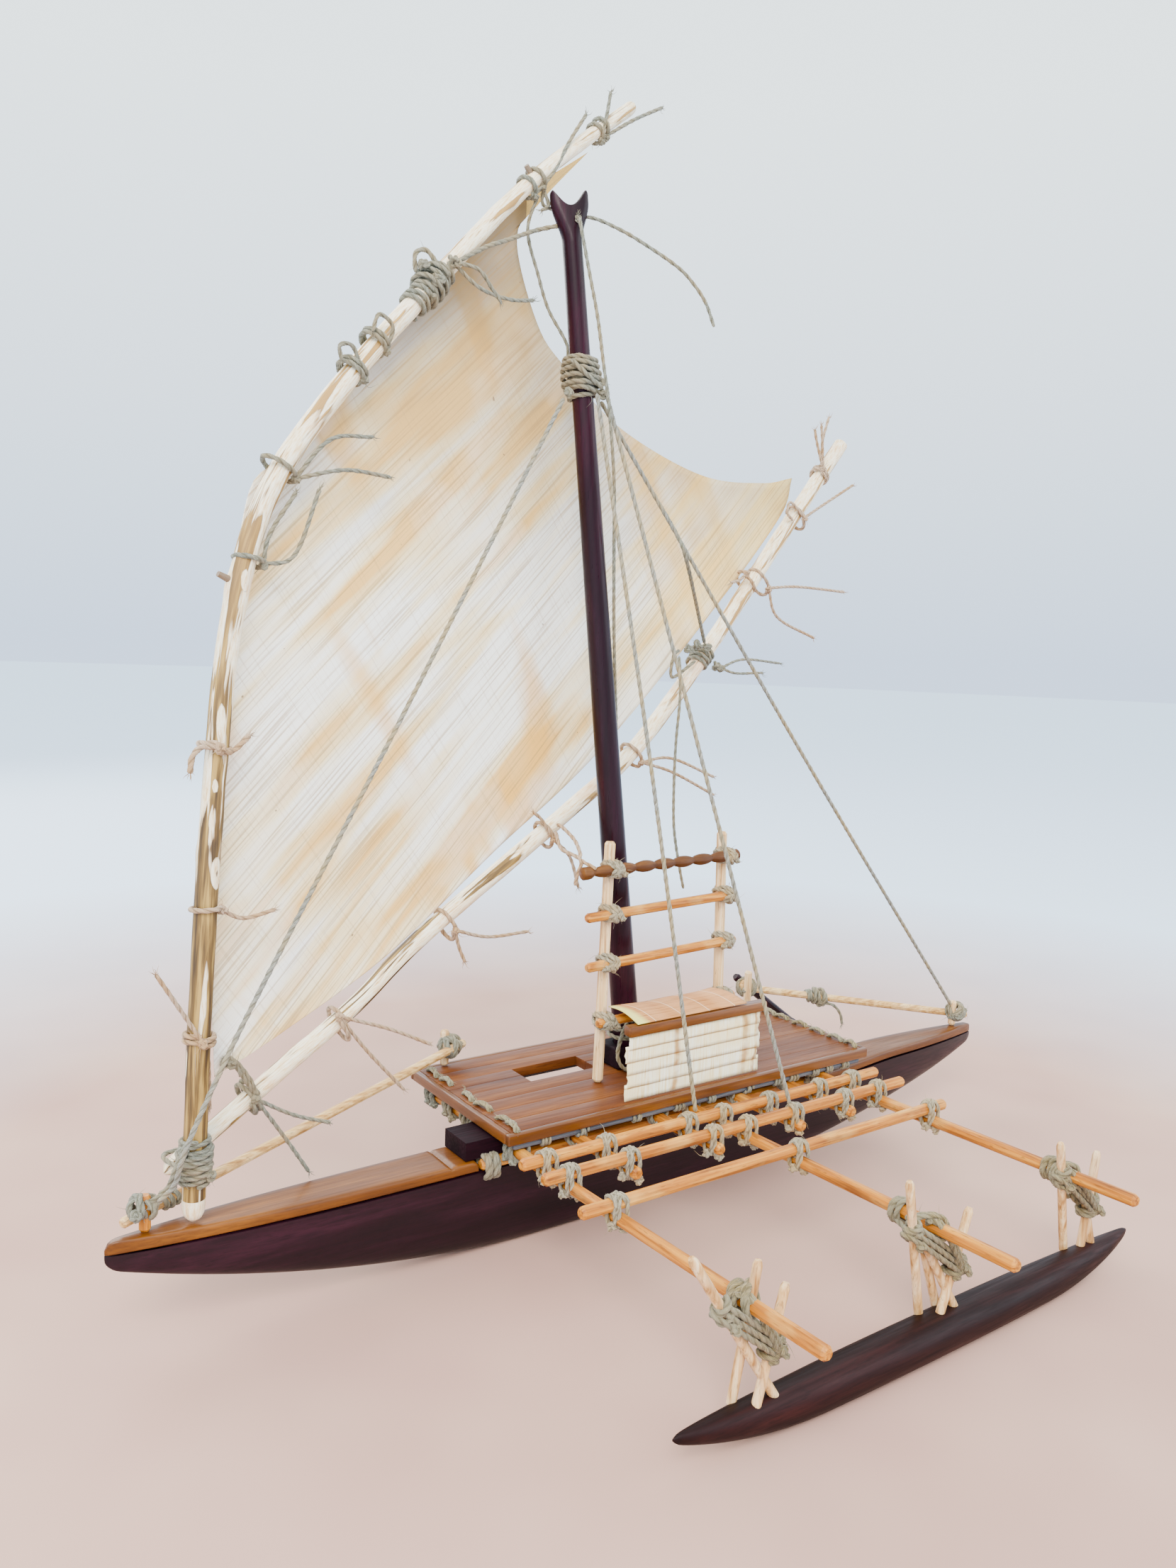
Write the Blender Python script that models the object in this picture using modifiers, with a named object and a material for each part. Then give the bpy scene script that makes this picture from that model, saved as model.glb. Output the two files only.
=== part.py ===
"""Display model of an outrigger sailing canoe with a crab-claw sail.

The bow points to -X, the float lies on the -Y side and +Z is up. The origin is
at the middle of the flat stretch of the keel, on the surface the model stands on.
"""
import math

import bmesh
import bpy
from mathutils import Matrix, Vector

MM = 0.001
GAP = 0.3 * MM

# Hull: a solid carved body with a deck laid on each end
HULL_LENGTH = 450 * MM
HULL_TOP = 34.7 * MM
HULL_HALF_WIDTH = 10 * MM
HULL_FINENESS = 5.5
KEEL_RISE_BOW = 30 * MM
KEEL_RISE_STERN = 33 * MM
KEEL_FLAT_BOW = -57 * MM
KEEL_FLAT_STERN = 50 * MM
SHEER_RISE = 2.8 * MM
SHEER_START = 102 * MM
SHEER_RUN = 55 * MM
DECK_THICK = 4.7 * MM
DECK_ROUND = 1.2 * MM
BOW_DECK_END = -90 * MM
STERN_DECK_START = 101 * MM

# Round sticks
DOWEL_R = 2.4 * MM
ROD_R = 1.3 * MM
PEG_R = 2.0 * MM
POLE_R = 1.9 * MM
STAY_R = 1.1 * MM

# Layers from the gunwale up: poles, booms, thin rods, platform
POLE_Z = HULL_TOP + GAP + DOWEL_R
BOOM_Z = POLE_Z + 2 * DOWEL_R + GAP
ROD_Z = BOOM_Z + DOWEL_R + GAP + ROD_R
PLATFORM_THICK = 4.5 * MM
PLATFORM_BOTTOM = ROD_Z + ROD_R + GAP
PLATFORM_TOP = PLATFORM_BOTTOM + PLATFORM_THICK
PLATFORM_X = (-83.8 * MM, 117.7 * MM)
PLATFORM_Y = (-21.3 * MM, 61.5 * MM)
HATCH_X = (-45.6 * MM, -11.4 * MM)
HATCH_Y = (22.9 * MM, 39.1 * MM)

# Outrigger booms and what lies across them
BOOMS = (("boom_fore", -75.8 * MM, -178.0 * MM),
         ("boom_mid", 11.8 * MM, -177.5 * MM),
         ("boom_aft", 90.1 * MM, -172.7 * MM))
BOOM_LEE_END = 59 * MM
BOOM_BEND_Y = -25 * MM
BOOM_SLOPE = 0.027
SHORT_POLE_X = (-48.3 * MM, -6.9 * MM, 38.3 * MM, 68.8 * MM)
SHORT_POLE_Y = (-57 * MM, -12.5 * MM)
STRINGERS = (("stringer_inner", -36.4 * MM, -87.7 * MM, 106.4 * MM),
             ("stringer_middle", -51.5 * MM, -87.7 * MM, 106.5 * MM),
             ("stringer_outer", -80.1 * MM, -91.4 * MM, 99.2 * MM))
GUNWALE_POLE_Y = 8.5 * MM
GUNWALE_POLE_X = (-88.5 * MM, 98 * MM)
ROD_Y = (-18.5 * MM, 13 * MM, 44 * MM, 58 * MM)
ROD_X = (-80 * MM, 114 * MM)

# Washstrake: the long dark box between hull and platform
WASHSTRAKE_X = (-95 * MM, 98 * MM)
WASHSTRAKE_HALF_WIDTH = 8.4 * MM
WASHSTRAKE_TOP = PLATFORM_BOTTOM - 0.7 * MM

# Float
FLOAT_CENTRE = Vector((15.75, -146.4, 0)) * MM
FLOAT_HALF_LENGTH = 118.75 * MM
FLOAT_HALF_WIDTH = 8 * MM
FLOAT_TOP = 13.2 * MM
FLOAT_TIP_RISE = 10.5 * MM
FLOAT_TIP_HALF_WIDTH = 0.5 * MM
FLOAT_STATIONS = (0.5, 0.65, 0.78, 0.88, 0.95, 0.985, 1)
FLOAT_FINENESS = 3.2
FLOAT_SIDES = 16
FLOAT_SQUARENESS = 0.75

# Crossed sticks on the float, lashed around the booms. Each group is numbered by its
# boom and holds sticks as top x, y, z and foot x, y in mm, then its lashing's centre and radii
STICK_R = 1.9 * MM
STICK_FOOT = FLOAT_TOP - 2 * MM
STICK_GROUPS = (
    ("float_sticks_fore", 0,
     ((-99.5, -144, 66, -62.5, -145), (-69.0, -143, 58, -83.0, -149), (-61, -146, 48.5, -72.0, -147)),
     (-73.5, -146, 39.5), (11.0, 5.0, 8.5)),
    ("float_sticks_mid", 1,
     ((-4.2, -146, 66, 5.5, -146), (29, -146, 48.7, 16.3, -147), (-9, -142, 60, 25, -145)),
     (13.5, -146, 38.0), (14.0, 5.0, 8.5)),
    ("float_sticks_aft", 2,
     ((82.2, -146, 60.3, 90.5, -146), (105.7, -146, 51.4, 101.2, -147), (97.5, -144, 54, 110.5, -145)),
     (94.5, -146, 40.0), (12.5, 5.0, 8.5)),
)
STICK_BOOM_REACH = 22 * MM
LEVEL_REACH = 50 * MM

# Pegs as foot x and y in mm, then bottom and top heights, and the poles they hold in mm
PEGS = (("peg_platform_fore", (-69, 58), PLATFORM_TOP + GAP, 68.7 * MM),
        ("peg_platform_aft", (111.7, 57), PLATFORM_TOP + GAP, 71.6 * MM),
        ("peg_bow", (-212, 0.5), HULL_TOP + DECK_THICK + 2 * GAP, 52.5 * MM),
        ("peg_stern", (211, 1.2), HULL_TOP + SHEER_RISE + DECK_THICK + 2 * GAP, 56 * MM))
LEE_POLES = (("lee_pole_fore", (-60, 56.5, 62), (-219, 2.6, 43.2)),
             ("lee_pole_aft", (113, 61.7, 61.3), (222, 0.2, 46.9)))
# The aft pole's lashing, which the steering paddle hangs against
PADDLE_LASHING = Vector((114.5, 61.7, 61.6)) * MM
PADDLE_LASHING_RADII = (4.6, 2.1, 4.2)

# Ladder frame on the platform
LADDER_Y = 8.1 * MM
UPRIGHTS = (("ladder_upright_fore", -21.2, -19.3, 157.5),
            ("ladder_upright_aft", 47.0, 43.6, 158.0))
RUNG_R = 2.1 * MM
RUNG_Y = LADDER_Y - DOWEL_R - GAP - RUNG_R
# Each rung: fore x and z, then aft x and z, in mm
RUNGS = (("ladder_rung_1", -26.0, 80.4, 51.0, 82.4), ("ladder_rung_2", -32.6, 105.5, 50.0, 108.4),
         ("ladder_rung_3", -33.6, 126.8, 49.0, 129.6))
# The carved rung swells into beads, two of which meet the uprights
CARVED_STEPS = 48
CARVED_FIRST_BEAD = 0.2
CARVED_BEAD_PITCH = 0.123
CARVED_DEPTH = 0.45
CARVED_RUNG = ("ladder_rung_carved", -36.5, 145.9, 49.0, 147.6)

# Shelter: a wall, the board along its top, and a curved roof sheet
WALL_X = (-25.5 * MM, 49.5 * MM)
WALL_Y = -16.8 * MM
WALL_THICK = 1.2 * MM
WALL_TOP = 80.1 * MM
FASCIA_X = (-24.5 * MM, 52 * MM)
FASCIA_Y = (-18.4 * MM, -13.4 * MM)
FASCIA_TOP = 84.6 * MM
ROOF_X = (-18.2 * MM, 40.5 * MM)
ROOF_Y = (-17.2 * MM, 7.0 * MM)
ROOF_THICK = 0.9 * MM
ROOF_ARCH = 1.6 * MM
ROOF_STEPS = 8

# Mast
MAST_FOOT = Vector((5.7, 21.7, 52.9)) * MM
MAST_HEAD = Vector((-39.6, 21.7, 398)) * MM
MAST_FOOT_R = 6.2 * MM
MAST_HEAD_R = 4.0 * MM
FORK_HALF_SPAN = 8.4 * MM
FORK_HEIGHT = 19 * MM
FORK_NOTCH = 6.2 * MM
FORK_THICK = 6 * MM
FORK_TURN = math.radians(-20)
MAST_RING_HEIGHTS = (45 * MM, 170 * MM, 290 * MM)
STEP_X = (-6 * MM, 15 * MM)
STEP_Y = (13.5 * MM, 30 * MM)
STEP_TOP = PLATFORM_TOP + 9.5 * MM
COLLAR_HEIGHT = 17 * MM
COLLAR_Z = 347 * MM
COLLAR_R = 8.2 * MM

# Rig: yard, boom spar and sail share one upright plane, turned to the lee side
TACK = Vector((-197.0, -2.0, 0)) * MM
RIG_TURN = math.radians(12)
RIG_ALONG = Vector((math.cos(RIG_TURN), math.sin(RIG_TURN), 0))
RIG_ASIDE = Vector((-math.sin(RIG_TURN), math.cos(RIG_TURN), 0))
SAIL_OFFSET = 4.9 * MM
SAIL_THICK = 0.8 * MM

# Rig lines as distance along the rig's plane from the tack, height and radius, in mm
YARD_LINE = ((0, 40.5, 3.2), (0.4, 46, 4.0), (1.2, 75, 4.0), (3.3, 120, 4.0), (8.2, 191, 3.9),
             (14.5, 243, 3.9), (27, 284, 3.9), (52, 320, 3.8), (95, 368, 3.7), (147, 421.5, 3.4),
             (203, 467.5, 3.2))
SPAR_LINE = ((-5.9, 56.5, 3.3), (37, 81, 3.4), (71, 100, 3.5), (104, 122.5, 3.6), (183, 166, 3.8),
             (228, 193.5, 3.9), (279, 241, 4.0), (333.5, 298, 4.1), (390, 356.2, 4.0))
SPAR_OFFSET = (8.0 * MM, 2.0 * MM)
# Edges of the sail in the same plane: luff from tack to peak, leech to clew, foot back
LUFF = ((11, 87), (10, 142), (17, 237), (23, 284), (35, 299), (53, 324), (93, 367), (131, 405),
        (181, 443))
LEECH = ((181, 443), (155, 416), (142, 398), (155, 368), (173, 354), (210, 335), (269, 323),
         (320, 326), (347, 332))
FOOT = ((347, 332), (337, 310), (279, 256), (202, 192), (140, 153), (85, 118), (38, 97), (11, 87))

# Standing rigging: route from the collar down, in mm
STAYS = (("stay_bow", ((-46, 18.5, 338), (-200.5, -12.0, 60), (-210.4, -2.6, 48.0))),
         ("stay_stern", ((-22, 20, 339), (207.9, 0.2, 54))),
         ("stay_outrigger_fore", ((-30, 11, 340), (-3.2, -36.0, 50.9))),
         ("stay_outrigger_aft", ((-25, 12, 340), (35.8, -50.9, 51.35))))

# Steering paddle, hung at the platform's lee aft corner, its blade down and aft
PADDLE_PIVOT = Vector((117.5, 66.3, 61.9)) * MM
PADDLE_SLOPE = math.radians(36)
PADDLE_HEAD = 8 * MM
PADDLE_LENGTH = 97 * MM
PADDLE_BLADE = 42 * MM
PADDLE_R = 2.2 * MM
BLADE_HALF_WIDTH = 6.5 * MM
BLADE_THICK = 1.5 * MM
PADDLE_SIDES = 12

# How far cutting shapes run past what they cut
CUT_PAST = 5 * MM

parts = bpy.data.collections.new("outrigger_canoe")
cutters = bpy.data.collections.new("cutters")


def clear_scene():
    for thing in list(bpy.data.objects):
        bpy.data.objects.remove(thing, do_unlink=True)
    bpy.context.scene.collection.children.link(parts)
    bpy.context.scene.collection.children.link(cutters)


def finish(name, colour, roughness):
    """A plain painted or oiled material."""
    made = bpy.data.materials.get(name) or bpy.data.materials.new(name)
    made.use_nodes = True
    shader = made.node_tree.nodes["Principled BSDF"]
    shader.inputs["Base Color"].default_value = (*colour, 1)
    shader.inputs["Roughness"].default_value = roughness
    shader.inputs["Metallic"].default_value = 0
    return made


def dark_wood():
    return finish("dark_oiled_wood", (0.06, 0.012, 0.016), 0.3)


def deck_wood():
    return finish("orange_brown_wood", (0.36, 0.14, 0.035), 0.35)


def dowel_wood():
    return finish("golden_dowel", (0.62, 0.36, 0.12), 0.5)


def pale_wood():
    return finish("pale_dowel", (0.75, 0.58, 0.36), 0.55)


def branch_wood():
    return finish("peeled_branch", (0.66, 0.46, 0.24), 0.6)


def leaf_cloth():
    return finish("leaf_cloth", (0.85, 0.74, 0.5), 0.8)


def twine():
    return finish("twine", (0.4, 0.36, 0.26), 0.9)


def place(name, data, material, collection=parts):
    made = bpy.data.objects.new(name, data)
    data.materials.append(material)
    collection.objects.link(made)
    return made


def solid(name, shape, material, collection=parts):
    """Turn a finished bmesh into a named object."""
    mesh = bpy.data.meshes.new(name)
    shape.to_mesh(mesh)
    shape.free()
    return place(name, mesh, material, collection)


def shade_round(thing):
    thing.data.shade_smooth()
    thing.data.set_sharp_from_angle(angle=math.radians(35))


def box(name, low, high, material, bevel=0.0, collection=parts):
    low, high = Vector(low), Vector(high)
    shape = bmesh.new()
    bmesh.ops.create_cube(shape, size=1)
    bmesh.ops.scale(shape, vec=high - low, verts=shape.verts)
    bmesh.ops.translate(shape, vec=(low + high) / 2, verts=shape.verts)
    made = solid(name, shape, material, collection)
    if bevel:
        rounding = made.modifiers.new("rounding", "BEVEL")
        rounding.width = bevel
        rounding.segments = 2
    return made


def loft(name, rings, material):
    """Skin a row of like rings and close both ends."""
    shape = bmesh.new()
    rows = [[shape.verts.new(point) for point in ring] for ring in rings]
    count = len(rows[0])
    for near, far in zip(rows, rows[1:]):
        for i in range(count):
            j = (i + 1) % count
            shape.faces.new((near[i], near[j], far[j], far[i]))
    shape.faces.new(list(reversed(rows[0])))
    shape.faces.new(rows[-1])
    bmesh.ops.recalc_face_normals(shape, faces=shape.faces)
    made = solid(name, shape, material)
    shade_round(made)
    return made


def tube(name, points, radii, material, sides=3, collection=parts):
    """A round stick along the points, with a radius at each of them."""
    curve = bpy.data.curves.new(name, "CURVE")
    curve.dimensions = "3D"
    curve.bevel_depth = 1
    curve.bevel_resolution = sides
    curve.use_fill_caps = True
    spline = curve.splines.new("POLY")
    spline.points.add(len(points) - 1)
    for slot, point, radius in zip(spline.points, points, radii):
        slot.co = (*point, 1)
        slot.radius = radius
    spline.use_smooth = True
    return place(name, curve, material, collection)


def stick(name, start, end, radius, material, sides=3, bend=None, collection=parts):
    """A dowel with softly rounded ends, straight or with inner points."""
    start, end = Vector(start), Vector(end)
    inner = [Vector(point) for point in (bend or [])]
    line = [start, *inner, end]
    head = (line[1] - start).normalized()
    tail = (line[-2] - end).normalized()
    soft = 0.45 * radius
    points = [start, start + head * soft, *inner, end + tail * soft, end]
    radii = [0.7 * radius] + [radius] * (len(points) - 2) + [0.7 * radius]
    return tube(name, points, radii, material, sides, collection)


def smooth_path(knots, steps):
    """Points on a Catmull-Rom curve through tuples of any length."""
    ends = [tuple(2 * a - b for a, b in zip(knots[0], knots[1]))]
    tail = [tuple(2 * a - b for a, b in zip(knots[-1], knots[-2]))]
    held = ends + list(knots) + tail
    path = []
    for before, start, end, after in zip(held, held[1:], held[2:], held[3:]):
        for step in range(steps):
            t = step / steps
            path.append(tuple(
                0.5 * (2 * b + (c - a) * t + (2 * a - 5 * b + 4 * c - d) * t ** 2
                       + (3 * b - a - 3 * c + d) * t ** 3)
                for a, b, c, d in zip(before, start, end, after)))
    path.append(tuple(knots[-1]))
    return path


def as_mesh(thing):
    """Replace a curve object by its closed mesh, so that it can be cut or joined."""
    bpy.context.view_layer.update()
    graph = bpy.context.evaluated_depsgraph_get()
    evaluated = thing.evaluated_get(graph)
    mesh = bpy.data.meshes.new_from_object(evaluated)
    shape = bmesh.new()
    shape.from_mesh(mesh)
    bmesh.ops.remove_doubles(shape, verts=shape.verts, dist=0.01 * MM)
    bmesh.ops.recalc_face_normals(shape, faces=shape.faces)
    shape.to_mesh(mesh)
    shape.free()
    name, home, matrix = thing.name, thing.users_collection[0], thing.matrix_world.copy()
    bpy.data.objects.remove(thing, do_unlink=True)
    made = bpy.data.objects.new(name, mesh)
    made.matrix_world = matrix
    home.objects.link(made)
    return made


def hide_tool(thing):
    thing.hide_render = True
    thing.display_type = "WIRE"


def combine(thing, tool, operation):
    change = thing.modifiers.new(operation.lower(), "BOOLEAN")
    change.operation = operation
    change.solver = "EXACT"
    change.object = tool
    hide_tool(tool)


def knot(name, centre, radii, material, collection=parts):
    """A rounded lump of lashing; its radii are in mm."""
    shape = bmesh.new()
    bmesh.ops.create_uvsphere(shape, u_segments=16, v_segments=10, radius=MM)
    bmesh.ops.scale(shape, vec=radii, verts=shape.verts)
    bmesh.ops.translate(shape, vec=centre, verts=shape.verts)
    return solid(name, shape, material, collection)


def hull_half_width(x):
    return HULL_HALF_WIDTH * (1 - (abs(x) / (HULL_LENGTH / 2 + 4 * MM)) ** HULL_FINENESS)


def keel_height(x):
    if x < KEEL_FLAT_BOW:
        along = (KEEL_FLAT_BOW - x) / (KEEL_FLAT_BOW + HULL_LENGTH / 2)
        return KEEL_RISE_BOW * along ** 1.8
    if x > KEEL_FLAT_STERN:
        along = (x - KEEL_FLAT_STERN) / (HULL_LENGTH / 2 - KEEL_FLAT_STERN)
        return KEEL_RISE_STERN * along ** 1.5
    return 0.0


def sheer(x):
    """How far the hull's top edge rises towards the stern."""
    t = min(max((x - SHEER_START) / SHEER_RUN, 0), 1)
    return SHEER_RISE * t * t * (3 - 2 * t)


def hull_ring(x):
    """Hull section: flat keel, round bilge and nearly upright side."""
    half = hull_half_width(x)
    low = keel_height(x)
    tall = HULL_TOP + sheer(x) - low
    side = [(0.42, 0.0), (0.7, 0.1), (0.87, 0.27), (0.96, 0.52), (1.0, 0.8), (1.0, 1.0)]
    right = [Vector((x, half * a, low + tall * b)) for a, b in side]
    left = [Vector((p.x, -p.y, p.z)) for p in reversed(right)]
    return right + left


def deck_ring(x):
    half = hull_half_width(x)
    low = HULL_TOP + GAP + sheer(x)
    high = low + DECK_THICK
    soft = min(DECK_ROUND, 0.6 * half)
    right = [(half, low), (half, high - soft), (half - 0.3 * soft, high - 0.3 * soft),
             (half - soft, high)]
    return ([Vector((x, y, z)) for y, z in right]
            + [Vector((x, -y, z)) for y, z in reversed(right)])


def spaced(start, end, count):
    return [start + (end - start) * i / (count - 1) for i in range(count)]


def make_hull():
    tip = HULL_LENGTH / 2
    stations = [-tip, -tip + 2 * MM, -tip + 6 * MM, *spaced(-tip + 14 * MM, KEEL_FLAT_BOW, 9),
                *spaced(KEEL_FLAT_STERN, tip - 14 * MM, 10), tip - 6 * MM, tip - 2 * MM, tip]
    loft("hull", [hull_ring(x) for x in stations], dark_wood())
    bow = [-tip, -tip + 2 * MM, -tip + 6 * MM, *spaced(-tip + 14 * MM, BOW_DECK_END, 7)]
    loft("deck_bow", [deck_ring(x) for x in bow], deck_wood())
    stern = [*spaced(STERN_DECK_START, tip - 14 * MM, 8), tip - 6 * MM, tip - 2 * MM, tip]
    loft("deck_stern", [deck_ring(x) for x in stern], deck_wood())


def boom_height(y):
    """Height of a boom's middle: level on the hull, rising towards the float."""
    return BOOM_Z + BOOM_SLOPE * max(BOOM_BEND_Y - y, 0)


def boom_line(x, outer, inner):
    """End points of a boom, and its bend where it leaves the platform."""
    inner_points = [(x, BOOM_BEND_Y, BOOM_Z)] if outer < BOOM_BEND_Y < inner else []
    return (x, outer, boom_height(outer)), (x, inner, boom_height(inner)), inner_points


def make_booms():
    for name, x, outer in BOOMS:
        start, end, bend = boom_line(x, outer, BOOM_LEE_END)
        stick(name, start, end, DOWEL_R, dowel_wood(), bend=bend)
    for number, x in enumerate(SHORT_POLE_X, 1):
        start, end, bend = boom_line(x, *SHORT_POLE_Y)
        stick(f"short_pole_{number}", start, end, DOWEL_R, dowel_wood(), bend=bend)
    for name, y, fore, aft in STRINGERS:
        z = boom_height(y) + 2 * DOWEL_R + GAP
        stick(name, (fore, y, z), (aft, y, z), DOWEL_R, dowel_wood())


def make_hull_top():
    for name, y in (("gunwale_pole_near", -GUNWALE_POLE_Y), ("gunwale_pole_lee", GUNWALE_POLE_Y)):
        stick(name, (GUNWALE_POLE_X[0], y, POLE_Z), (GUNWALE_POLE_X[1], y, POLE_Z),
              DOWEL_R, dowel_wood())
    low = POLE_Z + DOWEL_R + GAP
    strake = box("washstrake", (WASHSTRAKE_X[0], -WASHSTRAKE_HALF_WIDTH, low),
                 (WASHSTRAKE_X[1], WASHSTRAKE_HALF_WIDTH, WASHSTRAKE_TOP), dark_wood())
    for name, x, _ in BOOMS:
        past = WASHSTRAKE_HALF_WIDTH + CUT_PAST
        notch = box(f"notch_{name}", (x - DOWEL_R - GAP, -past, low - CUT_PAST),
                    (x + DOWEL_R + GAP, past, BOOM_Z + DOWEL_R + GAP), dark_wood(),
                    collection=cutters)
        combine(strake, notch, "DIFFERENCE")


def make_platform():
    for number, y in enumerate(ROD_Y, 1):
        stick(f"deck_rod_{number}", (ROD_X[0], y, ROD_Z), (ROD_X[1], y, ROD_Z),
              ROD_R, twine(), sides=2)
    board = box("platform", (PLATFORM_X[0], PLATFORM_Y[0], PLATFORM_BOTTOM),
                (PLATFORM_X[1], PLATFORM_Y[1], PLATFORM_TOP), deck_wood())
    hatch = box("hatch_hole", (HATCH_X[0], HATCH_Y[0], PLATFORM_BOTTOM - CUT_PAST),
                (HATCH_X[1], HATCH_Y[1], PLATFORM_TOP + CUT_PAST), deck_wood(),
                collection=cutters)
    combine(board, hatch, "DIFFERENCE")


def squared(value):
    """A sine or cosine pushed outwards, so that a circle becomes a softened square."""
    return math.copysign(abs(value) ** FLOAT_SQUARENESS, value)


def float_ring(t):
    """Section of the float at a share of its half length."""
    bulge = max(1 - abs(t) ** FLOAT_FINENESS, 0) ** 0.8
    half = FLOAT_HALF_WIDTH * bulge + FLOAT_TIP_HALF_WIDTH
    straight = FLOAT_STATIONS[0]
    rise = FLOAT_TIP_RISE * (max(abs(t) - straight, 0) / (1 - straight)) ** 2
    tall = (FLOAT_TOP - rise) / 2
    turns = [2 * math.pi * (step + 0.5) / FLOAT_SIDES for step in range(FLOAT_SIDES)]
    highest = max(squared(math.sin(turn)) for turn in turns)
    return [FLOAT_CENTRE + Vector((t * FLOAT_HALF_LENGTH, half * squared(math.cos(turn)),
                                   rise + tall * (1 + squared(math.sin(turn)) / highest)))
            for turn in turns]


def make_float():
    stations = [-t for t in reversed(FLOAT_STATIONS)] + list(FLOAT_STATIONS)
    loft("float", [float_ring(t) for t in stations], dark_wood())


def make_float_sticks():
    """Crossed sticks that stand on the float and are lashed around a boom."""
    for name, boom, sticks, centre, radii in STICK_GROUPS:
        group = knot(name, Vector(centre) * MM, radii, pale_wood())
        for number, (x, y, z, foot_x, foot_y) in enumerate(sticks, 1):
            piece = stick(f"{name}_{number}", Vector((x, y, z)) * MM,
                          (foot_x * MM, foot_y * MM, STICK_FOOT), STICK_R, pale_wood(),
                          collection=cutters)
            combine(group, as_mesh(piece), "UNION")
        x = BOOMS[boom][1]
        start, end, bend = boom_line(x, BOOMS[boom][2] - STICK_BOOM_REACH, BOOM_LEE_END)
        bore = tube(f"{name}_bore", [start, *bend, end], [DOWEL_R + GAP] * 3, pale_wood(),
                    collection=cutters)
        combine(group, as_mesh(bore), "DIFFERENCE")
        level = box(f"{name}_level", (x - LEVEL_REACH, FLOAT_CENTRE.y - LEVEL_REACH / 2, 0),
                    (x + LEVEL_REACH, FLOAT_CENTRE.y + LEVEL_REACH / 2, FLOAT_TOP + GAP),
                    pale_wood(), collection=cutters)
        combine(group, level, "DIFFERENCE")


def make_pegs_and_poles():
    for name, (x, y), low, high in PEGS:
        stick(name, (x * MM, y * MM, low), (x * MM, y * MM, high), PEG_R, pale_wood())
    for name, start, end in LEE_POLES:
        stick(name, Vector(start) * MM, Vector(end) * MM, POLE_R, dowel_wood())
    pole = as_mesh(parts.objects["lee_pole_aft"])
    lump = knot("paddle_lashing", PADDLE_LASHING, PADDLE_LASHING_RADII, twine(), cutters)
    combine(pole, lump, "UNION")


def make_ladder():
    for name, foot_x, top_x, top_z in UPRIGHTS:
        stick(name, (foot_x * MM, LADDER_Y, PLATFORM_TOP + GAP), (top_x * MM, LADDER_Y, top_z * MM),
              DOWEL_R, pale_wood())
    for name, fore_x, fore_z, aft_x, aft_z in RUNGS:
        stick(name, (fore_x * MM, RUNG_Y, fore_z * MM), (aft_x * MM, RUNG_Y, aft_z * MM),
              RUNG_R, dowel_wood())
    name, fore_x, fore_z, aft_x, aft_z = CARVED_RUNG
    start, end = Vector((fore_x * MM, RUNG_Y, fore_z * MM)), Vector((aft_x * MM, RUNG_Y, aft_z * MM))
    points, radii = [], []
    for step in range(CARVED_STEPS + 1):
        t = step / CARVED_STEPS
        points.append(start.lerp(end, t))
        swell = math.cos(2 * math.pi * (t - CARVED_FIRST_BEAD) / CARVED_BEAD_PITCH)
        radii.append(RUNG_R * (1 - CARVED_DEPTH / 2 + CARVED_DEPTH / 2 * swell))
    tube(name, points, radii, deck_wood(), sides=2)


def make_cabin():
    box("cabin_wall", (WALL_X[0], WALL_Y - WALL_THICK / 2, PLATFORM_TOP + GAP),
        (WALL_X[1], WALL_Y + WALL_THICK / 2, WALL_TOP), leaf_cloth())
    box("cabin_fascia", (FASCIA_X[0], FASCIA_Y[0], WALL_TOP + GAP),
        (FASCIA_X[1], FASCIA_Y[1], FASCIA_TOP), deck_wood(), bevel=0.5 * MM)
    rings = []
    for step in range(ROOF_STEPS + 1):
        t = step / ROOF_STEPS
        y = ROOF_Y[0] + (ROOF_Y[1] - ROOF_Y[0]) * t
        low = FASCIA_TOP + GAP + ROOF_ARCH * math.sin(math.pi * t)
        high = low + ROOF_THICK
        rings.append([Vector((ROOF_X[0], y, low)), Vector((ROOF_X[1], y, low)),
                      Vector((ROOF_X[1], y, high)), Vector((ROOF_X[0], y, high))])
    loft("cabin_roof", rings, leaf_cloth())


def mast_at(z):
    return MAST_FOOT.lerp(MAST_HEAD, (z - MAST_FOOT.z) / (MAST_HEAD.z - MAST_FOOT.z))


def make_mast():
    heights = [*MAST_RING_HEIGHTS, MAST_HEAD.z]
    mast = as_mesh(tube("mast", [mast_at(z) for z in heights], [mast_radius(z) for z in heights],
                        dark_wood(), sides=6))
    past = Vector((2 * MAST_FOOT_R, 2 * MAST_FOOT_R, 0))
    foot = Vector((MAST_FOOT.x, MAST_FOOT.y, PLATFORM_TOP + GAP))
    level = box("mast_level", foot - past - Vector((0, 0, 2 * CUT_PAST)), foot + past,
                dark_wood(), collection=cutters)
    combine(mast, level, "DIFFERENCE")
    step_block = box("mast_step", (STEP_X[0], STEP_Y[0], PLATFORM_TOP + GAP),
                     (STEP_X[1], STEP_Y[1], STEP_TOP), dark_wood(), bevel=0.8 * MM)
    below, above = mast_at(PLATFORM_TOP - 2 * CUT_PAST), mast_at(STEP_TOP + 2 * CUT_PAST)
    socket = tube("mast_socket", [below, above], [MAST_FOOT_R + GAP] * 2, dark_wood(), sides=6,
                  collection=cutters)
    combine(step_block, as_mesh(socket), "DIFFERENCE")
    make_fork()
    make_collar()


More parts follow.
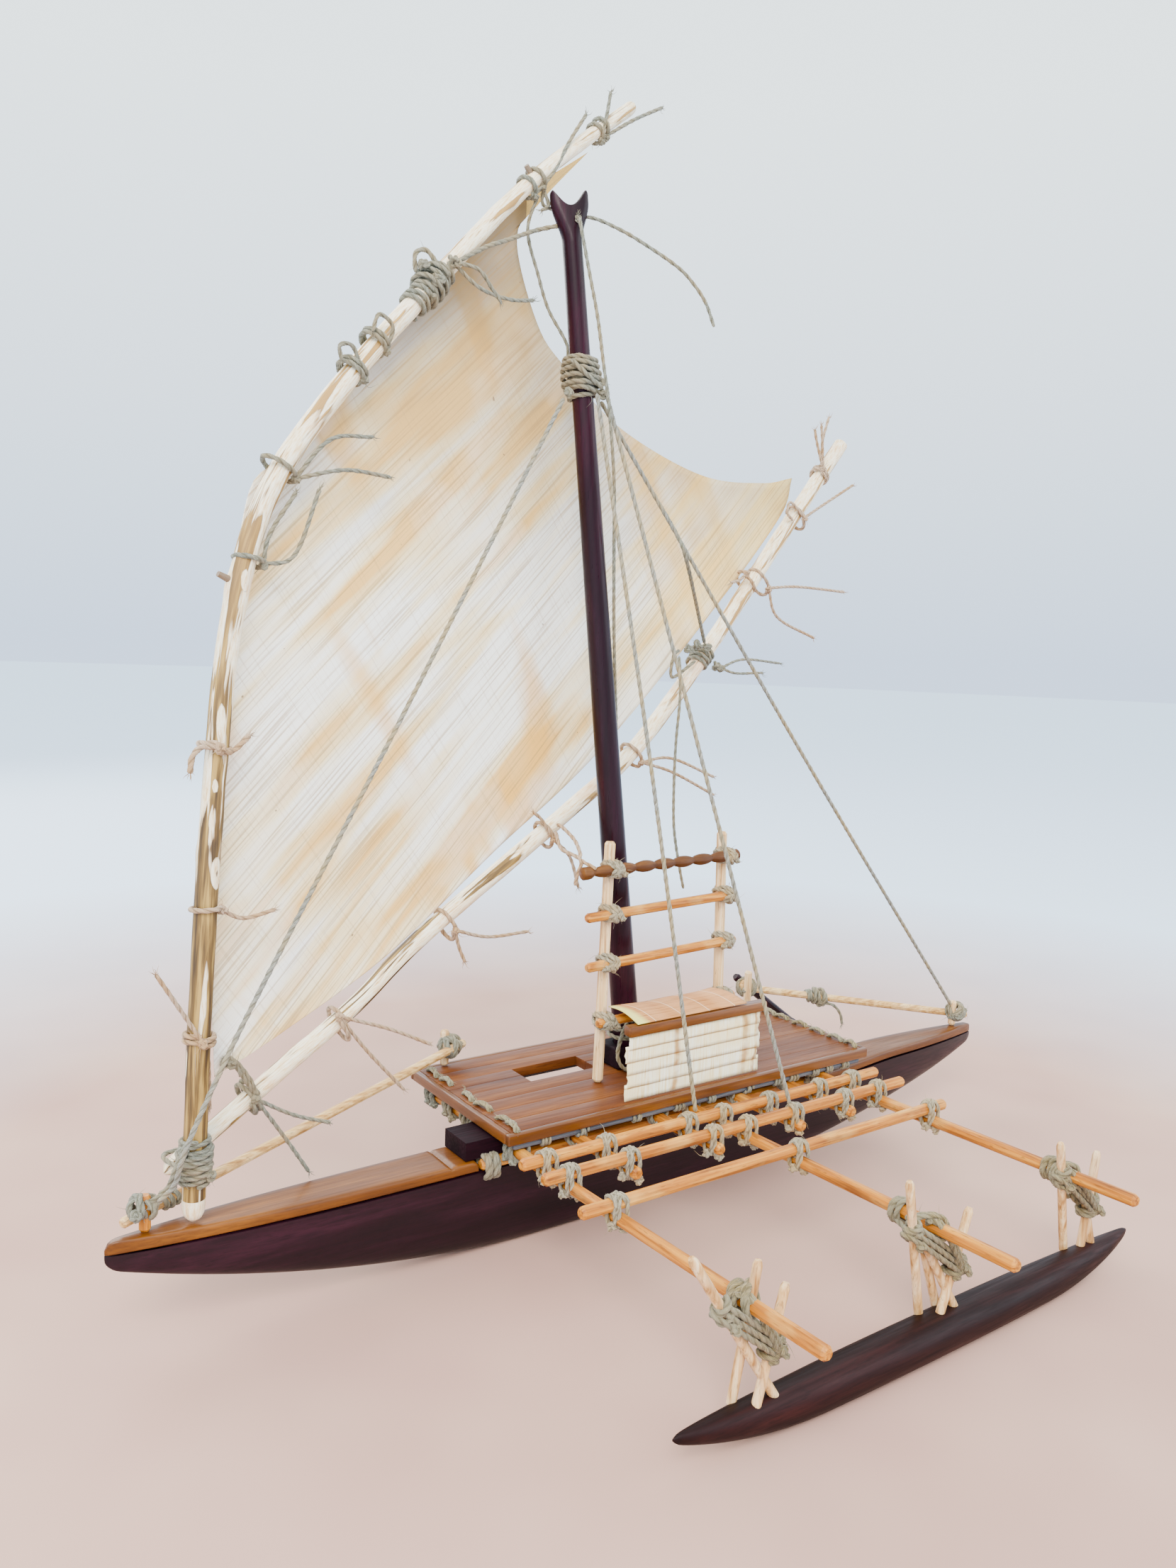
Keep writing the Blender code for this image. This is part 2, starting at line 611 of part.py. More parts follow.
def make_fork():
    """Mast head: two horns with a round notch that the halyard runs over."""
    curve = bpy.data.curves.new("mast_fork", "CURVE")
    curve.dimensions = "2D"
    curve.fill_mode = "BOTH"
    curve.extrude = FORK_THICK / 2
    neck = MAST_HEAD_R
    tip = FORK_HALF_SPAN
    right = [(neck, 0), (neck * 0.95, 0.3 * FORK_HEIGHT), (neck * 1.2, 0.55 * FORK_HEIGHT),
             (tip * 0.78, 0.8 * FORK_HEIGHT), (tip, FORK_HEIGHT), (tip * 0.8, FORK_HEIGHT)]
    for step in range(1, 5):
        turn = math.pi / 2 * step / 4
        right.append((tip * 0.8 * math.cos(turn), FORK_HEIGHT - FORK_NOTCH * math.sin(turn)))
    outline = right + [(-x, y) for x, y in reversed(right[:-1])]
    spline = curve.splines.new("POLY")
    spline.points.add(len(outline) - 1)
    for slot, (x, y) in zip(spline.points, outline):
        slot.co = (x, y, 0, 1)
    spline.use_cyclic_u = True
    fork = place("mast_fork", curve, dark_wood())
    lean = math.atan2(MAST_HEAD.x - MAST_FOOT.x, MAST_HEAD.z - MAST_FOOT.z)
    fork.matrix_world = (Matrix.Translation(MAST_HEAD + (MAST_HEAD - MAST_FOOT).normalized() * GAP)
                         @ Matrix.Rotation(lean, 4, "Y") @ Matrix.Rotation(FORK_TURN, 4, "Z")
                         @ Matrix.Rotation(math.pi / 2, 4, "X"))


def mast_sleeve(name, low, high, outer, inner, material):
    """A ring around the mast from one height to another."""
    reach = 2 * CUT_PAST
    ring = as_mesh(tube(name, [mast_at(low), mast_at(low + 0.2 * (high - low)),
                               mast_at(low + 0.8 * (high - low)), mast_at(high)],
                        [0.85 * outer, outer, outer, 0.85 * outer], material, sides=6))
    bore = as_mesh(tube(f"{name}_bore", [mast_at(low - reach), mast_at(high + reach)],
                        [inner, inner], material, sides=6, collection=cutters))
    combine(ring, bore, "DIFFERENCE")
    return ring


def mast_radius(z):
    t = (z - MAST_FOOT.z) / (MAST_HEAD.z - MAST_FOOT.z)
    return MAST_FOOT_R + (MAST_HEAD_R - MAST_FOOT_R) * t


def make_collar():
    low, high = COLLAR_Z - COLLAR_HEIGHT / 2, COLLAR_Z + COLLAR_HEIGHT / 2
    mast_sleeve("mast_collar", low, high, COLLAR_R, mast_radius(low) + GAP, twine())


def make_stays():
    for name, route in STAYS:
        points = [Vector(point) * MM for point in route]
        rope = as_mesh(tube(name, points, [STAY_R] * len(points), twine(), sides=2))
        reach = COLLAR_HEIGHT / 2 + CUT_PAST
        clear = tube(f"{name}_clear", [mast_at(COLLAR_Z - reach), mast_at(COLLAR_Z + reach)],
                     [COLLAR_R + GAP] * 2, twine(), sides=6, collection=cutters)
        combine(rope, as_mesh(clear), "DIFFERENCE")


def rig_point(along, height, aside=0.0):
    return TACK + RIG_ALONG * along + RIG_ASIDE * aside + Vector((0, 0, height))


def make_rig():
    """Yard, boom spar and sail, which swing about the line from tack to halyard knot."""
    pivot = bpy.data.objects.new("rig_pivot", None)
    pivot.location = rig_point(0, 50 * MM)
    parts.objects.link(pivot)
    back = Matrix.Translation(pivot.location).inverted()
    path = smooth_path(YARD_LINE, 4)
    yard = tube("yard", [rig_point(s * MM, z * MM) for s, z, _ in path],
                [r * MM for _, _, r in path], branch_wood())
    path = smooth_path(SPAR_LINE, 3)
    points = []
    for s, z, _ in path:
        share = (s - path[0][0]) / (path[-1][0] - path[0][0])
        aside = SPAR_OFFSET[0] + (SPAR_OFFSET[1] - SPAR_OFFSET[0]) * share
        points.append(rig_point(s * MM, z * MM, aside))
    spar = tube("boom_spar", points, [r * MM for _, _, r in path], branch_wood())
    curve = bpy.data.curves.new("sail", "CURVE")
    curve.dimensions = "2D"
    curve.fill_mode = "BOTH"
    curve.extrude = SAIL_THICK / 2
    spline = curve.splines.new("POLY")
    outline = [point for edge in (LUFF, LEECH, FOOT) for point in smooth_path(edge, 2)[:-1]]
    spline.points.add(len(outline) - 1)
    for slot, (s, z) in zip(spline.points, outline):
        slot.co = (s * MM, z * MM, 0, 1)
    spline.use_cyclic_u = True
    sail = place("sail", curve, leaf_cloth())
    sail.matrix_world = (Matrix.Translation(rig_point(0, 0, SAIL_OFFSET))
                         @ Matrix.Rotation(RIG_TURN, 4, "Z") @ Matrix.Rotation(math.pi / 2, 4, "X"))
    for piece in (yard, spar, sail):
        piece.parent = pivot
        piece.matrix_parent_inverse = back


def make_paddle():
    """A round shaft that flattens into a leaf-shaped blade."""
    blade = PADDLE_LENGTH - PADDLE_BLADE
    wide, thick = BLADE_HALF_WIDTH, BLADE_THICK
    sections = [(-PADDLE_HEAD, 0.7 * PADDLE_R, 0.7 * PADDLE_R),
                (-PADDLE_HEAD + 0.7 * PADDLE_R, PADDLE_R, PADDLE_R), (0, PADDLE_R, PADDLE_R),
                (blade - 0.25 * PADDLE_BLADE, PADDLE_R, PADDLE_R), (blade, 0.46 * wide, thick),
                (blade + 0.2 * PADDLE_BLADE, 0.86 * wide, thick),
                (blade + 0.5 * PADDLE_BLADE, wide, 0.95 * thick),
                (PADDLE_LENGTH - 0.2 * PADDLE_BLADE, 0.86 * wide, 0.8 * thick),
                (PADDLE_LENGTH - 0.05 * PADDLE_BLADE, 0.5 * wide, 0.7 * thick),
                (PADDLE_LENGTH, 0.18 * wide, 0.5 * thick)]
    turns = [2 * math.pi * step / PADDLE_SIDES for step in range(PADDLE_SIDES)]
    rings = [[Vector((x, flat * math.cos(turn), broad * math.sin(turn))) for turn in turns]
             for x, broad, flat in sections]
    paddle = loft("steering_paddle", rings, dark_wood())
    paddle.location = PADDLE_PIVOT
    paddle.rotation_euler = (0, PADDLE_SLOPE, 0)


clear_scene()
make_hull()
make_booms()
make_hull_top()
make_platform()
make_float()
make_float_sticks()
make_pegs_and_poles()
make_ladder()
make_cabin()
make_mast()
make_stays()
make_rig()
make_paddle()
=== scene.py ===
"""The looks of a handmade outrigger sailing canoe model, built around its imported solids.

Lengths are in metres in the solids' own frame: bow to -X, float on the -Y side and +Z up.
Most places are given in millimetres and turned into metres by mm().
"""

import random
from bisect import bisect_right
from math import acos, ceil, copysign, cos, exp, hypot, pi, radians, sin, sqrt

import bmesh
import bpy
from mathutils import Matrix, Vector, noise


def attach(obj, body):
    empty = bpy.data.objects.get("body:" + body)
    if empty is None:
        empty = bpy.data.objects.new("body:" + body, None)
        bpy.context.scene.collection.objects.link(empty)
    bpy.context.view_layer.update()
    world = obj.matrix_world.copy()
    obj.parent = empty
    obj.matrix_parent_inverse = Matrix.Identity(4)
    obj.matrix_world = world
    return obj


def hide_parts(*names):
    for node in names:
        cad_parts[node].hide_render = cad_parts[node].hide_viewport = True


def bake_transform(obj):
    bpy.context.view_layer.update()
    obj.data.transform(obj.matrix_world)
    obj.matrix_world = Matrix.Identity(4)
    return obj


MM = 0.001
X_AXIS, Y_AXIS, UP = Vector((1, 0, 0)), Vector((0, 1, 0)), Vector((0, 0, 1))
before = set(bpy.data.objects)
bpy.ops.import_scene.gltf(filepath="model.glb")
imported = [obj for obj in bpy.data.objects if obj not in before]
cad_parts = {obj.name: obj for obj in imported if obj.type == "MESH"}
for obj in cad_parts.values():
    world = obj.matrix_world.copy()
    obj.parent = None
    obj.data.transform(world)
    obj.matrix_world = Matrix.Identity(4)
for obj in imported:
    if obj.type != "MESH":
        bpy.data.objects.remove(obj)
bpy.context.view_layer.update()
chance = random.Random(11)

# Sizes shared with the solids
TWINE = 0.95 * MM
THIN_TWINE = 0.85 * TWINE
TWIST = 8 * MM
DOWEL = 2.4 * MM
STEP = 0.8 * MM
BOOM_Z = 42.5
BOOM_RISE = 0.027
BOOM_X = (-75.8, 11.8, 90.1)
SHORT_POLE_X = (-48.3, -6.9, 38.3, 68.8)
STRINGER_Y = {"inner": -36.4, "middle": -51.5, "outer": -80.1}
PLATFORM_LOW, PLATFORM_TOP = 48.1, 52.6
PLATFORM_X = (-83.8, 117.7)
PLATFORM_Y = (-21.3, 61.5)
FLOAT_Y = -146
HULL_HALF, HULL_TOP = 225, 34.7
DECK_STEPS = (90, 101)
TACK = Vector((-197, -2, 0)) * MM
RIG_TURN = radians(12)
ALONG = Vector((cos(RIG_TURN), sin(RIG_TURN), 0))
ASIDE = Vector((-sin(RIG_TURN), cos(RIG_TURN), 0))
MAST_FOOT = Vector((5.7, 21.7, 52.9)) * MM
MAST_HEAD = Vector((-39.6, 21.7, 398)) * MM
LEAN = (MAST_HEAD - MAST_FOOT).normalized()
FORK_SIDE = Matrix.Rotation(radians(-20), 3, "Z") @ Vector((1, 0, 0))
FORK_SIDE = (FORK_SIDE - LEAN * FORK_SIDE.dot(LEAN)).normalized()
FORK_BACK = LEAN.cross(FORK_SIDE)


def mm(x, y, z):
    """A place or a length given in mm."""
    return Vector((x, y, z)) * MM


def aim(x, y, z):
    """A direction."""
    return Vector((x, y, z)).normalized()


def rig(along, height, aside=0.0):
    """A point of the rig's upright plane, in mm from the tack."""
    return TACK + (ALONG * along + ASIDE * aside + UP * height) * MM


def fork(side, back, up):
    """A point of the mast head, in mm from the end of the mast."""
    return MAST_HEAD + (FORK_SIDE * side + FORK_BACK * back + LEAN * up) * MM


def mast_share(height):
    """How far up the mast a height in mm is: 0 at its foot, 1 at its head."""
    return (height * MM - MAST_FOOT.z) / (MAST_HEAD.z - MAST_FOOT.z)


def mast_at(height):
    return MAST_FOOT.lerp(MAST_HEAD, mast_share(height))


def mast_radius(height):
    return (6.2 - 2.2 * mast_share(height)) * MM


def boom_z(y):
    """The booms' height over the water line: level inboard, and rising towards the float."""
    return BOOM_Z + BOOM_RISE * max(-25 - y, 0)


# Finishes

class Finish:
    """A Principled material and the nodes that feed it."""

    def __init__(self, name, roughness=0.5, **sockets):
        self.material = bpy.data.materials.new(name)
        self.material.use_nodes = True
        self.tree = self.material.node_tree
        self.shader = self.tree.nodes["Principled BSDF"]
        named = {socket.replace("_", " "): value for socket, value in sockets.items()}
        self.feed(self.shader, {"Roughness": roughness, **named})

    def feed(self, node, inputs):
        """Link or set a node's inputs, and leave alone what is None."""
        for socket, value in inputs.items():
            if isinstance(value, bpy.types.NodeSocket):
                self.tree.links.new(value, node.inputs[socket])
            elif value is not None:
                node.inputs[socket].default_value = value

    def node(self, kind, inputs=(), **settings):
        made = self.tree.nodes.new("ShaderNode" + kind)
        for name, value in settings.items():
            setattr(made, name, value)
        self.feed(made, dict(inputs))
        return made

    def place(self, scale=(1, 1, 1), source="Object", turn=0.0, shift=(0, 0, 0)):
        """Coordinates of the piece, its UV map or a named attribute, turned and then stretched."""
        if source in ("Object", "UV"):
            held = self.node("TexCoord").outputs[source]
        else:
            held = self.node("Attribute", attribute_name=source).outputs["Vector"]
        inputs = {"Vector": held, "Scale": [1 / part for part in scale], "Rotation": (0, 0, turn),
                  "Location": shift}
        return self.node("Mapping", inputs, vector_type="TEXTURE").outputs["Vector"]

    def grain(self, scale, detail=3, rough=0.55, distort=0.0, size=1.0, **placed):
        """Noise over placed coordinates."""
        inputs = {"Vector": self.place(scale, **placed), "Scale": size, "Detail": detail,
                  "Roughness": rough, "Distortion": distort}
        return self.node("TexNoise", inputs).outputs["Fac"]

    def ramp(self, factor, *stops):
        """Stops as (position, colour or value), from low to high."""
        made = self.node("ValToRGB", {"Fac": factor})
        band = made.color_ramp
        while len(band.elements) < len(stops):
            band.elements.new(0.5)
        for element, (position, tone) in zip(band.elements, stops):
            element.position = position
            element.color = (*tone, 1) if isinstance(tone, tuple) else (tone, tone, tone, 1)
        return made.outputs["Color"]

    def blend(self, factor, base, tone, mode="MIX"):
        """Two colours mixed, each a colour or the output of another node."""
        base, tone = ((*part, 1) if isinstance(part, tuple) else part for part in (base, tone))
        return self.node("Mix", {"Factor": factor, 6: base, 7: tone}, data_type="RGBA",
                         blend_type=mode).outputs[2]

    def wash(self, base, tone, source, low, high):
        """A tone laid over the base, from a low to a high (position, strength) of the source."""
        return self.blend(self.ramp(source, low, high), base, tone)

    def calc(self, kind, *values):
        return self.node("Math", enumerate(values), operation=kind).outputs["Value"]

    def times(self, first, second):
        return self.calc("MULTIPLY", first, second)

    def minus(self, first, second):
        return self.calc("SUBTRACT", first, second)

    def parts(self, vector):
        return self.node("SeparateXYZ", {"Vector": vector}).outputs

    def span(self, value, low, high, first=0.0, last=1.0):
        """A value taken from one range to another."""
        inputs = {"Value": value, "From Min": low, "From Max": high, "To Min": first,
                  "To Max": last}
        return self.node("MapRange", inputs).outputs["Result"]

    def raise_by(self, height, strength, distance, under=None):
        """Relief in the finish, over the relief that is under it."""
        inputs = {"Strength": strength, "Distance": distance, "Height": height, "Normal": under}
        return self.node("Bump", inputs).outputs["Normal"]

    def done(self, base, roughness=None, normal=None):
        self.feed(self.shader, {"Base Color": base, "Roughness": roughness, "Normal": normal})
        return self.material


def stretch(axis, along, across):
    """Texture scale with the grain running along one axis."""
    return tuple(along if name == axis else across for name in "XYZ")


def oiled_wood(name, axis, dark, middle, light, roughness=0.32, coat=0.3, pores=0.35,
               shine=0.35):
    """Dense wood with long grain, short dark pores and a rubbed shine."""
    made = Finish(name, roughness, Coat_Weight=coat, Coat_Roughness=0.15, Specular_IOR_Level=shine)
    broad = made.grain(stretch(axis, 9, 90), 3, 0.6, 0.6)
    fine = made.grain(stretch(axis, 40, 900), 4, 0.6, 0.2)
    base = made.ramp(broad, (0.3, dark), (0.52, middle), (0.72, light))
    base = made.wash(base, dark, fine, (0.35, 0.0), (0.65, 0.55))
    dash = made.ramp(made.grain(stretch(axis, 160, 1900), 1), (0.6, 0.0), (0.66, 1.0))
    base = made.blend(made.times(dash, pores), base, tuple(0.35 * part for part in dark))
    rubbed = made.ramp(fine, (0.3, roughness - 0.06), (0.7, roughness + 0.14))
    sunk = made.raise_by(dash, -0.2, 0.0001)
    return made.done(base, rubbed, made.raise_by(fine, 0.18, 0.0002, sunk))


def stick_wood(name, axis, dark, middle, light, roughness=0.45, worn=(0.76, 0.43, 0.11)):
    """Round stock: fine straight grain, darker growth lines, paler worn patches."""
    made = Finish(name, roughness, Specular_IOR_Level=0.3)
    lines = made.grain(stretch(axis, 22, 620), 3, 0.55, 0.1)
    base = made.ramp(lines, (0.32, dark), (0.5, middle), (0.7, light))
    patches = made.grain(stretch(axis, 60, 140), 2, 0.5, shift=(3, 1, 2))
    base = made.wash(base, worn, patches, (0.52, 0.0), (0.75, 0.5))
    fleck = made.grain(stretch(axis, 200, 1800), 1)
    base = made.wash(base, tuple(0.5 * part for part in dark), fleck, (0.63, 0.0), (0.7, 0.5))
    return made.done(base, made.ramp(lines, (0.3, roughness + 0.1), (0.7, roughness - 0.08)),
                     made.raise_by(lines, 0.25, 0.0002))


def twine_fibre(name, dark, middle, light, tint=(0.34, 0.25, 0.11)):
    """Two-strand plant twine: painted shade in its grooves, streaked fibres and slow changes of
    tone.
    """
    made = Finish(name, 0.9, Sheen_Weight=0.15, Sheen_Roughness=0.5)
    around = made.parts(made.place(source="lay"))
    crest = made.minus(made.times(around[0], around[0]), made.times(around[1], around[1]))
    strands = made.grain((3.4, 3.4, 0.4), 3, 0.65, size=1.8, source="lay")
    base = made.ramp(strands, (0.3, dark), (0.5, middle), (0.7, light))
    base = made.wash(base, tint, made.grain((70, 70, 70), 2, 0.5), (0.42, 0.0), (0.62, 0.7))
    # Painted shade: the grooves between the two strands are darkened, and the crests keep their
    # colour.
    groove_shade = made.ramp(made.calc("MULTIPLY_ADD", crest, 0.5, 0.5), (0.0, (0.5, 0.46, 0.38)),
                       (0.25, (0.85, 0.83, 0.78)), (0.5, (1, 1, 1)))
    base = made.blend(1.0, base, groove_shade, "MULTIPLY")
    return made.done(base, None, made.raise_by(strands, 0.6, 0.0003))


def branch_finish(name, bark_from, bark_full, peeled=0.0):
    """Peeled branch: cream wood with strips of brown bark that close up towards its foot.
    Its lay attribute goes round it in x and y and along it, in mm, in z."""
    made = Finish(name, 0.5)
    fine = made.grain((3, 3, 0.1), 3, 0.6, size=2.2, source="lay")
    wood = made.ramp(fine, (0.26, (0.55, 0.3, 0.1)), (0.42, (0.84, 0.63, 0.36)),
                     (0.58, (0.94, 0.84, 0.64)))
    blush = made.grain((30, 30, 30), 3, 0.6, shift=(0.02, 0, 0))
    wood = made.wash(wood, (0.74, 0.42, 0.22), blush, (0.55, 0.0), (0.68, 0.55))
    knots = made.grain((1, 1, 0.022), 3, 0.5, 0.5, size=1.1, source="lay", shift=(2, 5, 0))
    run = made.parts(made.place(source="lay"))[2]
    level = made.minus(knots, made.span(run, bark_from, bark_full, 0.14, -0.12))
    level = made.minus(level, made.calc("LESS_THAN", run, peeled))
    eye = made.node("Attribute", attribute_name="eye").outputs["Fac"]
    level = made.minus(level, made.calc("LESS_THAN", eye, 1.0))
    mask = made.ramp(level, (0.44, 0.0), (0.455, 1.0))
    bark = made.ramp(made.grain((1.3, 1.3, 0.022), size=1.6, source="lay"),
                     (0.36, (0.045, 0.022, 0.004)), (0.5, (0.15, 0.08, 0.014)),
                     (0.64, (0.4, 0.245, 0.055)))
    bark = made.blend(made.times(made.span(run, 170, 300), 0.7), bark, (0.5, 0.27, 0.07))
    rim = made.ramp(level, (0.41, 0.0), (0.44, 1.0), (0.47, 0.0))
    base = made.blend(mask, wood, bark)
    base = made.blend(made.times(rim, 0.55), base, (0.16, 0.07, 0.02))
    ring = made.ramp(eye, (0.24, 0.9), (0.3, 0.0), (0.9, 0.0), (1.0, 0.6), (1.15, 0.0))
    base = made.blend(ring, base, (0.1, 0.045, 0.015))
    normal = made.raise_by(fine, 0.3, 0.0002, made.raise_by(mask, 0.5, 0.0004))
    return made.done(base, made.ramp(mask, (0.0, 0.45), (1.0, 0.65)), normal)


def sail_cloth():
    """Thin leaf cloth: slanting fibres, a fainter cross lay, warm bands and a dusky peak."""
    made = Finish("sail_leaf_cloth", 0.8)
    slant, fall = radians(43), radians(-54)
    bands = made.grain((5, 45, 1), 3, 0.6, 0.2, source="UV", turn=slant)
    stains = made.grain((5, 19, 1), 2, 0.5, 0.8, source="UV", turn=fall, shift=(0.41, 0.02, 0))
    patches = made.grain((16, 16, 1), source="UV", shift=(1.3, 0.2, 0))
    weft = made.grain((16, 950, 1), 2, 0.6, source="UV", turn=slant)
    warp = made.grain((25, 1100, 1), 2, 0.6, source="UV", turn=fall)
    specks = made.grain((300, 300, 1), 1, source="UV")
    across, height = made.parts(made.place(source="UV"))[0:2]
    base = made.ramp(bands, (0.38, (0.82, 0.48, 0.14)), (0.46, (0.93, 0.74, 0.42)),
                     (0.56, (0.97, 0.94, 0.85)))
    base = made.wash(base, (0.84, 0.42, 0.055), stains, (0.54, 0.0), (0.62, 0.7))
    base = made.wash(base, (0.98, 0.95, 0.87), patches, (0.52, 0.0), (0.7, 0.5))
    corner = made.span(made.minus(across, made.times(height, 0.25)), 0.13, 0.25)
    base = made.blend(made.times(corner, 0.75), base, (0.94, 0.66, 0.22))
    rise = made.calc("ADD", height, made.times(made.minus(bands, 0.5), 0.12))
    dusky = made.ramp(patches, (0.35, (0.17, 0.085, 0.018)), (0.65, (0.36, 0.23, 0.09)))
    base = made.blend(made.times(made.span(rise, 0.26, 0.38), 0.9), base, dusky)
    peak = made.times(made.calc("GREATER_THAN", across, 0.147),
                      made.calc("GREATER_THAN", height, 0.402))
    base = made.blend(peak, base, (0.78, 0.47, 0.12))
    lines = made.ramp(weft, (0.34, 1.0), (0.5, 0.0))
    base = made.blend(made.times(lines, 0.6), base, (0.36, 0.2, 0.06))
    crossed = made.ramp(warp, (0.32, 1.0), (0.44, 0.0))
    base = made.blend(made.times(crossed, 0.25), base, (0.38, 0.22, 0.08))
    base = made.wash(base, (0.2, 0.11, 0.05), specks, (0.79, 0.0), (0.81, 0.8))
    normal = made.raise_by(weft, 0.35, 0.0002, made.raise_by(warp, 0.2, 0.0002))
    return made.done(base, None, normal)


def leaf_strip():
    """Pale dried leaf with fine upright veins, a seam to each row and a few brown streaks."""
    row_height, seam_at = 0.00542, 0.83
    made = Finish("shelter_leaf", 0.7, Specular_IOR_Level=0.15)
    veins = made.grain((1300, 1300, 60), 2, 0.6)
    base = made.ramp(veins, (0.3, (0.78, 0.56, 0.24)), (0.46, (0.95, 0.84, 0.54)),
                     (0.64, (0.98, 0.94, 0.76)))
    blotches = made.grain((60, 60, 90), 2, 0.5, shift=(0, 0, 0.3))
    base = made.wash(base, (0.93, 0.74, 0.36), blotches, (0.45, 0.0), (0.65, 0.6))
    wander = made.grain((40, 40, 120), 3, 0.6)
    breaks = made.ramp(made.grain((30, 30, 150), 1, shift=(0.1, 0, 0)), (0.42, 0.25), (0.56, 1.0))
    length, _, height = made.parts(made.place())[0:3]
    rows = made.calc("DIVIDE", made.calc("MULTIPLY_ADD", wander, 0.0006, height), row_height)
    seam = made.ramp(made.calc("ABSOLUTE", made.minus(made.calc("FRACT", rows), seam_at)),
                     (0.02, 0.75), (0.09, 0.0))
    base = made.blend(made.times(seam, breaks), base, (0.5, 0.27, 0.08))
    swayed = made.calc("MULTIPLY_ADD", wander, 0.006, length)
    for at, reach in ((0.0042, 0.0022), (0.0432, 0.0026), (0.0495, 0.0012)):
        away = made.calc("DIVIDE", made.calc("ABSOLUTE", made.minus(swayed, at)), reach)
        stain = made.times(made.ramp(away, (0.25, 1.0), (1.0, 0.0)), breaks)
        base = made.blend(made.times(stain, 0.8), base, (0.42, 0.19, 0.04))
    return made.done(base, None, made.raise_by(veins, 0.3, 0.0002))


def roof_leaf():
    """Tan leaf sheet in panels, with fine lines along it and light joints across."""
    made = Finish("shelter_roof_leaf", 0.65, Specular_IOR_Level=0.12)
    veins = made.grain((60, 1100, 1100), 3, 0.6)
    bands = made.grain((55, 8, 8), 2, 0.5)
    base = made.ramp(veins, (0.3, (0.3, 0.105, 0.022)), (0.55, (0.54, 0.235, 0.08)))
    base = made.wash(base, (0.68, 0.36, 0.17), bands, (0.4, 0.0), (0.65, 0.5))
    length = made.parts(made.place(shift=(-0.0182, 0, 0)))[0]
    panel = made.calc("FRACT", made.times(length, 68))
    joint = made.calc("ABSOLUTE", made.minus(panel, 0.5))
    base = made.wash(base, (0.93, 0.8, 0.6), joint, (0.0, 0.7), (0.02, 0.0))
    base = made.blend(made.span(length, 0.005, 0.0015), base, (0.72, 0.66, 0.2))
    return made.done(base, None, made.raise_by(veins, 0.3, 0.0002))


# Each wood and twine has three colours, from its dark to its light grain
HULL_DARK = ((0.004, 0.0008, 0.0025), (0.0115, 0.0018, 0.006), (0.03, 0.006, 0.015))
FLOAT_DARK = ((0.0045, 0.0007, 0.001), (0.013, 0.002, 0.0022), (0.03, 0.006, 0.006))
MAST_DARK = ((0.006, 0.0007, 0.0025), (0.0165, 0.002, 0.0068), (0.034, 0.0055, 0.0145))
BOX_DARK = ((0.0035, 0.0006, 0.0016), (0.009, 0.0015, 0.0042), (0.02, 0.004, 0.0095))
DECK_ORANGE = ((0.055, 0.015, 0.0012), (0.135, 0.04, 0.003), (0.23, 0.078, 0.007))
PLANK_BROWN = ((0.075, 0.018, 0.003), (0.14, 0.04, 0.007), (0.215, 0.072, 0.014))
CARVED_BROWN = ((0.05, 0.014, 0.002), (0.115, 0.038, 0.005), (0.2, 0.075, 0.012))
BLUE_GREY = ((0.04, 0.045, 0.06), (0.12, 0.13, 0.155), (0.26, 0.27, 0.28))
GOLDEN = ((0.19, 0.052, 0.003), (0.44, 0.145, 0.008), (0.62, 0.26, 0.03))
PALE = ((0.4, 0.2, 0.07), (0.72, 0.45, 0.2), (0.88, 0.66, 0.4))
PALE_TAN = ((0.34, 0.16, 0.045), (0.6, 0.34, 0.11), (0.78, 0.54, 0.26))
PALE_RED = ((0.34, 0.15, 0.04), (0.66, 0.38, 0.15), (0.84, 0.62, 0.36))
GREY_TWINE = ((0.055, 0.058, 0.042), (0.17, 0.17, 0.125), (0.42, 0.41, 0.32))
BONE_TWINE = ((0.08, 0.066, 0.036), (0.27, 0.23, 0.15), (0.55, 0.49, 0.36))
GOLD_TWINE = ((0.07, 0.055, 0.02), (0.2, 0.15, 0.06), (0.44, 0.35, 0.2))
PINK_TWINE = ((0.2, 0.125, 0.065), (0.44, 0.3, 0.19), (0.68, 0.53, 0.4))
STAY_TWINE = ((0.085, 0.083, 0.065), (0.22, 0.215, 0.18), (0.46, 0.44, 0.37))

hull_wood = oiled_wood("hull_dark_wood", "X", *HULL_DARK, 0.36, 0.08, shine=0.2)
float_wood = oiled_wood("float_dark_wood", "X", *FLOAT_DARK, 0.5, 0.0, shine=0.15)
mast_wood = oiled_wood("mast_dark_wood", "Z", *MAST_DARK, 0.3, 0.05, 0.2, 0.14)
box_wood = oiled_wood("washstrake_dark_wood", "X", *BOX_DARK, 0.6, 0.0, shine=0.08)
deck_wood = oiled_wood("deck_orange_wood", "X", *DECK_ORANGE, 0.34, 0.12, 0.2, 0.25)
plank_wood = oiled_wood("platform_plank_wood", "X", *PLANK_BROWN, 0.42, 0.0, shine=0.2)
edge_wood = oiled_wood("platform_edge_wood", "X", *DECK_ORANGE, 0.34, 0.12, 0.2)
edge_wood_across = oiled_wood("platform_end_wood", "Y", *DECK_ORANGE, 0.34, 0.12, 0.2)
carved_wood = oiled_wood("carved_rung_wood", "X", *CARVED_BROWN, 0.48, 0.0, 0.1, 0.25)
# Blue-grey for the thin deck rods under the platform's near edge.
rod_wood = oiled_wood("blue_grey_rod", "X", *BLUE_GREY, 0.5, 0.0, 0.1)
golden_x = stick_wood("golden_stick_lengthways", "X", *GOLDEN)
golden_y = stick_wood("golden_stick_crossways", "Y", *GOLDEN)
golden_z = stick_wood("golden_stick_upright", "Z", *GOLDEN)
pale_x = stick_wood("pale_stick_lengthways", "X", *PALE_TAN, worn=(0.86, 0.64, 0.36))
